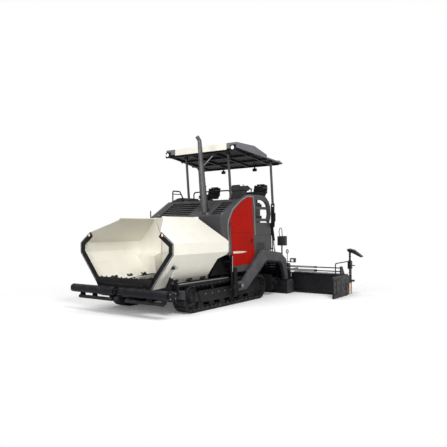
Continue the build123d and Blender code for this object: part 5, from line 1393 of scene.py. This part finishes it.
DESK_OUT = (0, 0.40, 0.915)
DESK_FRONT_Y, DESK_EDGE_Z, DESK_FALL = 0.70, 2.919, 0.44


def console_controls(shape):
    """Binnacle, two rows of keys, knobs and a lever on the operator's desk."""
    shape.plate([(0.575, 2.900), (0.590, 2.950), (0.640, 2.966), (0.668, 2.960), (0.660, 2.925)], "x", 0.315,
                0.545, 0.008)
    for x in spread(0.335, 0.525, 8):
        for y in (0.712, 0.738):
            key = (x, y, DESK_EDGE_Z - (y - DESK_FRONT_Y) * DESK_FALL)
            shape.slab(key, ACROSS, (0, 0.915, -0.40), (0.015, 0.015, 0.008), 0.002)
    for x in (0.345, 0.405, 0.465, 0.525):
        shape.turned((x, 0.765, 2.894), DESK_OUT, [(0, 0), (0, 0.013), (0.012, 0.011), (0.015, 0)], 14)
    return shape.turned((0.575, 0.735, 2.905), DESK_OUT, [(0, 0), (0, 0.026), (0.010, 0.022), (0.018, 0.010),
                                                          (0.050, 0.008), (0.056, 0.016), (0.072, 0.015),
                                                          (0.078, 0.0)], 18)


def console_display(shape):
    """Screen in the binnacle's sloping face."""
    return shape.slab((0.43, 0.6635, 2.944), ACROSS, (0, 0.22, 0.975), (0.19, 0.028, 0.003), 0.001)


def console_trim(shape):
    """Grab rail of the desk with its three feet, and the seam of its cover."""
    shape.bar((0.30, 0.803, 2.866), (0.77, 0.803, 2.866), 0.008, 12)
    for x in (0.325, 0.535, 0.745):
        shape.box((x - 0.006, 0.788, 2.858), (x + 0.006, 0.806, 2.872), 0.002)
    return shape.box((0.532, 0.562, 2.800), (0.538, 0.7955, 2.806))


console_controls(Shape()).done("console_controls", "root", "console_plastic", PLASTIC)
console_display(Shape()).done("console_display", "root", "console_plastic", SCREEN)
console_trim(Shape()).done("console_trim", "root", "black_paint", BLACK)

# ---- deck, stairs and posts ----------------------------------------------------------------

DECK_TOP, CATWALK_TOP, TREAD_HEIGHTS = 2.499, 1.949, (2.060, 2.365)
REAR_WALL = 1.258
REAR_LOUVRES = 7


def deck_plates(shape):
    """Tread plates of the deck and of the catwalks beside it."""
    for left, right in ((-0.78, -0.27), (-0.25, 0.25)):
        shape.box((left, 0.50, DECK_TOP), (right, 1.23, DECK_TOP + 0.006), 0.002)
    for left in (0.84, -1.10):
        shape.box((left, 0.50, CATWALK_TOP), (left + 0.26, 1.20, CATWALK_TOP + 0.006), 0.002)
    return shape


def stair_nosings(shape):
    """Nosing, kick plate and ribs of each stair tread."""
    for top in TREAD_HEIGHTS:
        shape.box((0.82, 0.895, top - 0.012), (1.06, 0.906, top + 0.004), 0.002)
        shape.box((1.050, 0.575, top - 0.010), (1.060, 0.900, top + 0.075), 0.003)
        for y in spread(0.57, 0.87, 6):
            shape.box((0.83, y - 0.008, top - 0.001), (1.05, y + 0.008, top + 0.004), 0.001)
    return shape


def post_boxes(shape):
    """Valve box, lamp plate and pipes on the rear post's stub."""
    shape.box((1.196, 1.155, 2.150), (1.274, 1.172, 2.340), 0.006)
    shape.box((1.200, 1.214, 1.985), (1.272, 1.262, 2.215), 0.008)
    for low in (2.010, 2.140):
        shape.box((1.210, 1.260, low), (1.262, 1.272, low + 0.040), 0.003)
    for run in ([(1.225, 1.232, 1.990), (1.225, 1.232, 1.900), (1.16, 1.232, 1.860), (1.125, 1.232, 1.860)],
                [(1.250, 1.232, 1.990), (1.250, 1.232, 1.875), (1.16, 1.250, 1.830), (1.120, 1.250, 1.830)]):
        shape.tube(run, 0.010, 0.03)
    return shape


def rear_panel(shape):
    """Three pressed panels with their bolts and a louvre on the rear wall under the deck."""
    for left in (-0.74, -0.24, 0.26):
        shape.box((left, 1.2495, 1.62), (left + 0.48, REAR_WALL, 2.40), 0.006)
        shape.bolts([(x, REAR_WALL, z) for z in (1.66, 2.36) for x in (left + 0.03, left + 0.45)], BACKWARD,
                    0.010, 0.008)
    for index in range(REAR_LOUVRES):
        louvre = (0.0, REAR_WALL + 0.004, 1.86 + index * 0.05)
        shape.slab(louvre, ACROSS, (0, 0.5, 0.87), (0.38, 0.026, 0.004))
    return shape


def rear_pipes(shape):
    """Steel lines clamped down the rear of the frame to the augers and the screed."""
    for index, x in enumerate((0.30, 0.34, 0.38, 0.42)):
        shape.tube([(x, 1.262, 1.60), (x, 1.262, 1.12 - index * 0.02), (x, 1.285, 1.05 - index * 0.02),
                    (x, 1.285, 0.90)], 0.011)
    for z in (1.52, 1.28, 0.98):
        shape.box((0.28, 1.249, z), (0.44, 1.280, z + 0.03), 0.004)
    for index, x in enumerate((0.860, 0.895, 0.930, 0.965, 1.000)):
        back = 1.440 + 0.028 * index
        shape.tube([(x, 1.240, 1.80), (x, back, 1.78), (x, back + 0.01, 1.40), (x, back, 1.06),
                    (x, 1.240, 1.03)], 0.015, 0.10)
    for z in (1.62, 1.24):
        shape.plate([(0.842, 1.425), (1.005, 1.535), (1.018, 1.570), (0.985, 1.572), (0.842, 1.470)], "z", z,
                    z + 0.03)
    return shape.mirrored()


deck_plates(Shape()).done("deck_plates", "root", "black_paint", TREAD)
each_side(stair_nosings, "stair_nosings", "root", "grey_paint", TREAD)
each_side(post_boxes, "post_boxes", "root", "black_paint", BLACK)
rear_panel(Shape()).done("rear_panel", "root", "grey_paint", GREY)
rear_pipes(Shape()).done("rear_pipes", "root", "black_paint", HOSE)

# ---- tow points and tow arms ---------------------------------------------------------------

TOW_PIN = Vector((1.277, -0.38, 0.44))
LEVEL_X, LEVEL_Y = 1.205, -0.735
ARM_FACE, PAD_FACE, ARM_PIPE_X = 1.2485, 1.256, 1.205
ARM_UNDER = [(0.20, 0.5745), (0.80, 0.985), (1.56, 0.920), (1.69, 0.790), (1.815, 0.440)]


def tow_pin_caps(shape):
    """Cap over the tow pin's end and its four bolts."""
    shape.turned(TOW_PIN, ACROSS, [(0, 0), (0, 0.044), (0.006, 0.044), (0.010, 0.038), (0.010, 0.014),
                                   (0.016, 0.012), (0.016, 0)], 24)
    corners = [Vector((0, y, z)) for z in (0.035, -0.035) for y in (-0.035, 0.035)]
    return shape.bolts([TOW_PIN + corner for corner in corners], ACROSS, 0.007, 0.006)


def level_cylinder_dress(shape):
    """Gland and clamp bands of the levelling cylinder."""
    shape.turned((LEVEL_X, LEVEL_Y, 1.180), UPWARD, [(-0.002, 0), (-0.002, 0.034), (0.010, 0.034),
                                                     (0.016, 0.026), (0.016, 0)], 20)
    for z in (0.80, 0.90, 1.12):
        shape.ring((LEVEL_X, LEVEL_Y, z), UPWARD, 0.0375, 0.0425, 0.014)
    return shape


def level_indicator(shape):
    """Bright rod beside the levelling cylinder."""
    return shape.bar((1.247, -0.752, 0.80), (1.247, -0.752, 1.165), 0.006, 12)


def arm_plates(shape):
    """Two pads on the outside of each tow arm and their bolts."""
    shape.plate([(-0.44, 0.39), (-0.44, 0.50), (-0.30, 0.52), (-0.16, 0.46), (-0.22, 0.37)], "x", ARM_FACE,
                1.2545, 0.002)
    shape.plate([(1.60, 1.00), (1.70, 1.05), (1.86, 0.93), (1.92, 0.82), (1.84, 0.80), (1.72, 0.84)], "x",
                ARM_FACE, PAD_FACE, 0.003)
    shape.bolts([(PAD_FACE, y, z) for y, z in ((1.66, 1.00), (1.74, 0.97), (1.83, 0.90), (1.88, 0.83),
                                               (1.75, 0.87))], ACROSS, 0.013, 0.010)
    return shape.bolts([(ARM_FACE + 0.0015, y, z) for y, z in ((0.55, 1.06), (0.70, 1.16), (0.80, 1.13),
                                                               (1.30, 1.10), (1.42, 1.09))],
                       ACROSS, 0.012, 0.009)


def arm_pipes(shape):
    """Steel lines clamped in two layers under each tow arm."""
    for depth in (0.013, 0.037):
        run = offset_line(ARM_UNDER, -depth)
        for x in (ARM_PIPE_X - 0.027, ARM_PIPE_X, ARM_PIPE_X + 0.027):
            shape.tube([(x, point.x, point.y) for point in run], 0.0105, 0.10)
    for leg, share in ((0, 0.45), (0, 0.9), (1, 0.3), (1, 0.8), (3, 0.4)):
        start, end = Vector(ARM_UNDER[leg]), Vector(ARM_UNDER[leg + 1])
        way = (end - start).normalized()
        middle = start.lerp(end, share) + Vector((way.y, -way.x)) * 0.026
        shape.slab((ARM_PIPE_X, middle.x, middle.y), (0, way.x, way.y), ACROSS, (0.034, 0.088, 0.056), 0.004)
    return shape


each_side(tow_pin_caps, "tow_pin_caps", "tow_points", "dark_steel", ZINC)
each_side(level_cylinder_dress, "level_cylinder_dress", "root", "black_paint", BLACK)
each_side(level_indicator, "level_indicator", "root", "cylinder_rod", CHROME)
each_side(arm_plates, "tow_arm_plates", "screed", "grey_paint", ARM_GREY)
each_side(arm_pipes, "tow_arm_pipes", "screed", "black_paint", HOSE)

# ---- screed --------------------------------------------------------------------------------

SCREED_END = 1.2745
TAMPER_FACE, BEAM_FACE = 1.820, 2.036
BLOCK_TOP_Y = 1.925
BOX_FACE = 1.952
LAMP_X, LAMP_Z = 1.32, 0.905
KERB_FOOT = 0.444


def screed_end_plates(shape):
    """Curved end plates of the main screed with their bolts."""
    shape.plate([(1.850, 0.030), (1.885, 0.006), (2.235, 0.006), (2.235, 0.315), (2.180, 0.385),
                 (2.00, 0.393), (1.870, 0.375), (1.845, 0.30)], "x", SCREED_END, SCREED_END + 0.0085, 0.003)
    return shape.bolts([(SCREED_END, y, z) for y in (1.90, 2.18) for z in (0.06, 0.28)], ACROSS, 0.012, 0.009)


def screed_front(shape):
    """Tamper shield, valve blocks, boxes, brackets and pipes on the front of the main screed."""
    shape.box((0.02, TAMPER_FACE, 0.10), (1.26, TAMPER_FACE + 0.012, 0.36), 0.004)
    for x in spread(0.10, 1.18, 8):
        shape.bolts([(x, TAMPER_FACE, 0.33), (x, TAMPER_FACE, 0.13)], AHEAD, 0.012, 0.009)
    shape.box((0.62, 1.865, 0.799), (0.86, 1.985, 0.905), 0.010)
    shape.box((0.18, 1.875, 0.799), (0.40, 1.975, 0.875), 0.010)
    for x in (0.66, 0.71, 0.76, 0.81):
        high = 0.945 + (x - 0.66) * 0.2
        shape.tube([(x, BLOCK_TOP_Y, 0.90), (x, BLOCK_TOP_Y, high), (1.06, BLOCK_TOP_Y, high),
                    (1.10, BLOCK_TOP_Y, 0.83)], 0.010, 0.03)
    for x in (0.22, 0.36):
        shape.bar((x, 1.93, 0.872), (x, 1.93, 0.91), 0.016, 14)
    shape.box((0.90, 1.862, 0.640), (1.130, 1.985, 0.860), 0.012)
    shape.box((0.915, 1.853, 0.680), (1.115, 1.863, 0.830), 0.004)
    shape.box((0.45, 1.870, 0.560), (0.58, 1.980, 0.900), 0.010)
    for z in (0.70, 0.735, 0.77):
        shape.tube([(1.128, 1.90, z), (1.150, 1.90, z), (1.150, 1.84, z - 0.05), (1.150, 1.84, 0.44)], 0.0105,
                   0.03)
    for x in (0.93, 1.09):
        shape.slab((x, BLOCK_TOP_Y, 0.51), UPWARD, ACROSS, (0.27, 0.03, 0.05), 0.004)
    return shape.slab((0.515, BLOCK_TOP_Y, 0.48), UPWARD, ACROSS, (0.17, 0.05, 0.05), 0.004)


def screed_frame(shape):
    """Beam along the top of the main screed, its end box under the sleeves and the lines before it."""
    shape.box((0.02, BEAM_FACE, 0.396), (1.266, 2.094, 0.640), 0.006)
    shape.box((1.10, 2.090, 0.330), (1.268, 2.232, 0.584), 0.006)
    shape.bolts([(x, BEAM_FACE, 0.555) for x in spread(0.12, 1.20, 7)], AHEAD, 0.011, 0.009)
    for z in (0.44, 0.49, 0.54):
        shape.tube([(0.60, 2.020, z), (0.96, 2.020, z), (1.00, 2.020, z - 0.03), (1.00, BEAM_FACE, z - 0.05)],
                   0.0095, 0.02)
    return shape


def screed_handle(shape):
    """Grab handle on the beam's end."""
    return shape.tube([(1.266, 2.10, 0.560), (1.282, 2.10, 0.552), (1.282, 2.10, 0.455),
                       (1.266, 2.10, 0.447)], 0.007, 0.012)


def screed_covers(shape):
    """Hinged covers and handles on top of the main screed."""
    for left in (0.05, 0.64):
        shape.box((left, 1.842, 0.399), (left + 0.42, 2.020, 0.412), 0.004)
        shape.tube([(left + 0.16, 1.90, 0.411), (left + 0.16, 1.90, 0.440), (left + 0.27, 1.90, 0.440),
                    (left + 0.27, 1.90, 0.411)], 0.006, 0.012)
    return shape


def sleeve_collars(shape):
    """Bolted collars at the ends of the sleeves and between them."""
    for z, outer, _ in SLEEVES:
        for x in (1.195, 0.90, 0.30):
            shape.ring((x, SLEEVE_Y, z), ACROSS, outer - 0.001, outer + 0.007, 0.022, 28)
    return shape


def control_box_dress(shape):
    """Cable guard hoop, knobs, covers and dial of the control box, and the lamp's hood."""
    shape.tube([(0.965, 2.02, 1.578), (0.945, 2.02, 1.72), (0.975, 2.02, 1.815), (1.035, 2.02, 1.800),
                (1.050, 2.02, 1.578)], 0.011, 0.06)
    for x in (0.975, 1.045, 1.115):
        shape.turned((x, 2.0805, 1.40), BACKWARD, [(0, 0), (0, 0.018), (0.014, 0.015), (0.018, 0)], 16)
    shape.box((0.935, BOX_FACE, 1.330), (1.155, BOX_FACE + 0.009, 1.570), 0.005)
    shape.box((0.935, 2.079, 1.565), (1.155, 2.100, 1.585), 0.004)
    shape.turned((1.02, BOX_FACE, 1.45), AHEAD, [(0, 0), (0, 0.045), (0.004, 0.045), (0.008, 0.036),
                                                 (0.008, 0)], 24)
    return shape.box((1.245, 2.083, 0.958), (1.395, 2.187, 0.966), 0.003)


def control_screen(shape):
    """Screen on the control box's rear face."""
    return shape.box((0.955, 2.0795, 1.445), (1.135, 2.083, 1.545), 0.001)


def control_lamp_glass(shape):
    """Domed glass of the work lamp on the screed."""
    return shape.turned((LAMP_X, 2.0898, LAMP_Z), AHEAD, [(0, 0.038), (0.004, 0.034), (0.006, 0.020),
                                                          (0.007, 0)], 24)


def walkway_edges(shape):
    """Raised kerb, brackets and bolts of the walkway behind the screed."""
    shape.box((-1.26, 3.235, KERB_FOOT), (1.26, 3.249, KERB_FOOT + 0.030), 0.003)
    for x in (-1.15, -0.40, 0.40, 1.15):
        shape.bolts([(x - 0.045, 2.72, 0.445), (x + 0.045, 2.72, 0.445)], UPWARD, 0.011, 0.009)
        shape.plate([(2.745, KERB_FOOT), (2.745, 0.500), (2.795, KERB_FOOT)], "x", x - 0.006, x + 0.006)
    return shape


each_side(screed_end_plates, "screed_end_plates", "screed", "dark_steel", PLATE)
each_side(screed_front, "screed_front", "screed", "dark_steel", SCREED)
each_side(screed_frame, "screed_frame", "screed", "dark_steel", SCREED)
each_side(screed_handle, "screed_handle", "screed", "cylinder_rod", CHROME)
each_side(screed_covers, "screed_covers", "screed", "dark_steel", SCREED)
each_side(sleeve_collars, "sleeve_collars", "screed", "dark_steel", ZINC)
control_box_dress(Shape()).done("control_box_dress", "screed", "console_plastic", PLASTIC)
control_screen(Shape()).done("control_screen", "screed", "console_plastic", SCREEN)
control_lamp_glass(Shape()).done("control_lamp_glass", "screed", "exhaust_metal", LENS)
walkway_edges(Shape()).done("walkway_edges", "screed", "dark_steel", SCREED)

# ---- extensions and end gates --------------------------------------------------------------

PANEL_BACK = 2.2712
BOARD_TOP = 0.319
GATE_FACE, RIB_FACE = 2.7895, 2.7965
COLUMN = Vector((2.770, 2.660, 0.0))


def extension_panels(shape):
    """Wear strip, seams and fixings on the front face of each extension."""
    shape.box((1.27, 2.2640, 0.075), (2.72, PANEL_BACK, 0.115), 0.002)
    for x in (1.62, 2.10, 2.55):
        shape.box((x - 0.012, 2.2660, 0.12), (x + 0.012, PANEL_BACK, 0.50), 0.002)
    return shape.bolts([(x, 2.2705, 0.525) for x in spread(1.32, 2.68, 9)], AHEAD, 0.010, 0.005)


def extension_rail(shape):
    """Bright guide rail along the extension's upper front edge."""
    profile = [(0, 0), (0, 0.0225), (0.003, 0.0255), (1.394, 0.0255), (1.397, 0.0225), (1.397, 0)]
    return shape.turned((1.292, 2.2965, 0.5795), ACROSS, profile, 24)


def extension_board(shape):
    """Tread ribs and kerb on the extension's own walkway board."""
    for x in spread(1.30, 2.64, 16):
        shape.box((x - 0.010, 2.70, BOARD_TOP), (x + 0.010, 3.17, BOARD_TOP + 0.006), 0.002)
    return shape.box((1.25, 3.178, BOARD_TOP), (2.70, 3.189, BOARD_TOP + 0.026), 0.003)


def gate_plates(shape):
    """Stiffeners and bolts on the outside of each end gate."""
    for front, low in ((1.54, 0.09), (1.58, 0.44)):
        shape.plate([(front, low), (front, low + 0.04), (2.40, low + 0.06), (2.40, low + 0.02)], "x",
                    GATE_FACE, RIB_FACE, 0.002)
    for y in (1.70, 2.00, 2.28):
        shape.box((GATE_FACE, y - 0.018, 0.14), (2.7960, y + 0.018, 0.47), 0.002)
    return shape.bolts([(2.790, y, 0.30) for y in (1.62, 1.85, 2.14, 2.38)], ACROSS, 0.016, 0.012)


def gate_runner(shape):
    """Wear runner along the gate's foot."""
    return shape.plate([(1.505, 0.006), (1.505, 0.040), (2.40, 0.040), (2.44, 0.062), (2.455, 0.040),
                        (2.405, 0.006)], "x", GATE_FACE, GATE_FACE + 0.005, 0.001)


def gate_step(shape):
    """Light step block under the side control's column."""
    shape.box((2.752, 2.610, 0.075), (2.788, 2.735, 0.318), 0.006)
    return shape.box((2.788, 2.630, 0.20), (2.796, 2.715, 0.29), 0.003)


def gate_console(shape):
    """Keys, knob, grip, crank handle and collars of the side control on its column."""
    way = Vector((0.225, 0, -0.165)).normalized()
    out = Vector((0.165, 0, 0.225)).normalized()
    base = COLUMN + Vector((0.12, 0, 1.205))
    for index in range(5):
        for forth in (-0.045, -0.015, 0.015, 0.045):
            key = base + way * (0.060 + index * 0.036) + Vector((0, forth, 0))
            shape.slab(key, way, BACKWARD, (0.020, 0.018, 0.010), 0.003)
    shape.turned(base + way * 0.035 - out * 0.003, out, [(0, 0), (0, 0.020), (0.018, 0.017), (0.022, 0)], 18)
    shape.tube([(2.758, 2.585, 1.19), (2.720, 2.560, 1.22), (2.720, 2.760, 1.22), (2.758, 2.735, 1.19)],
               0.008, 0.03)
    shape.bar(COLUMN + Vector((0, 0, 0.895)), COLUMN + Vector((0, 0, 0.925)), 0.040, 20)
    shape.tube([(2.815, 2.66, 0.79), (2.845, 2.66, 0.79), (2.845, 2.60, 0.79), (2.885, 2.60, 0.79)],
               0.008, 0.015)
    shape.bar((2.868, 2.60, 0.79), (2.930, 2.60, 0.79), 0.013, 14)
    for z in (0.58, 0.64, 1.02, 1.08):
        shape.ring(COLUMN + Vector((0, 0, z)), UPWARD, 0.0255, 0.033, 0.016, 20)
    return shape


each_side(extension_panels, "extension_panels", "extension_{side}", "dark_steel", SCREED)
each_side(extension_rail, "extension_rail", "extension_{side}", "cylinder_rod", TUBE)
each_side(extension_board, "extension_board", "extension_{side}", "dark_steel", TREAD)
each_side(gate_plates, "gate_plates", "gate_{side}", "dark_steel", SCREED)
each_side(gate_runner, "gate_runner", "gate_{side}", "dark_steel", PLATE)
each_side(gate_step, "gate_step", "gate_{side}", "dark_steel", AMBER)
each_side(gate_console, "gate_console", "gate_{side}", "console_plastic", PLASTIC)

# ---- lift cylinders ------------------------------------------------------------------------


def lift_cylinder_dress(shape):
    """Dress of the cylinder that lifts the screed."""
    top, eye = Vector((1.09, 1.36, 1.90)), Vector((1.09, 1.56, 1.04))
    way = (eye - top).normalized()
    gland = 0.412, [(0, 0.0385), (0, 0.043), (0.027, 0.043), (0.029, 0.0245)]
    return barrel_dress(shape, top, eye, Vector((0, -way.z, way.y)), gland, ((0.075, 0.21), 0.0378, 0.0415),
                        (0.090, 0.25, 0.400), (0.035, 0.058, 0.010), (0.054, 0.007, 0.02))


each_side(lift_cylinder_dress, "lift_cylinder_dress", "lift_cylinders", "black_paint", BLACK)
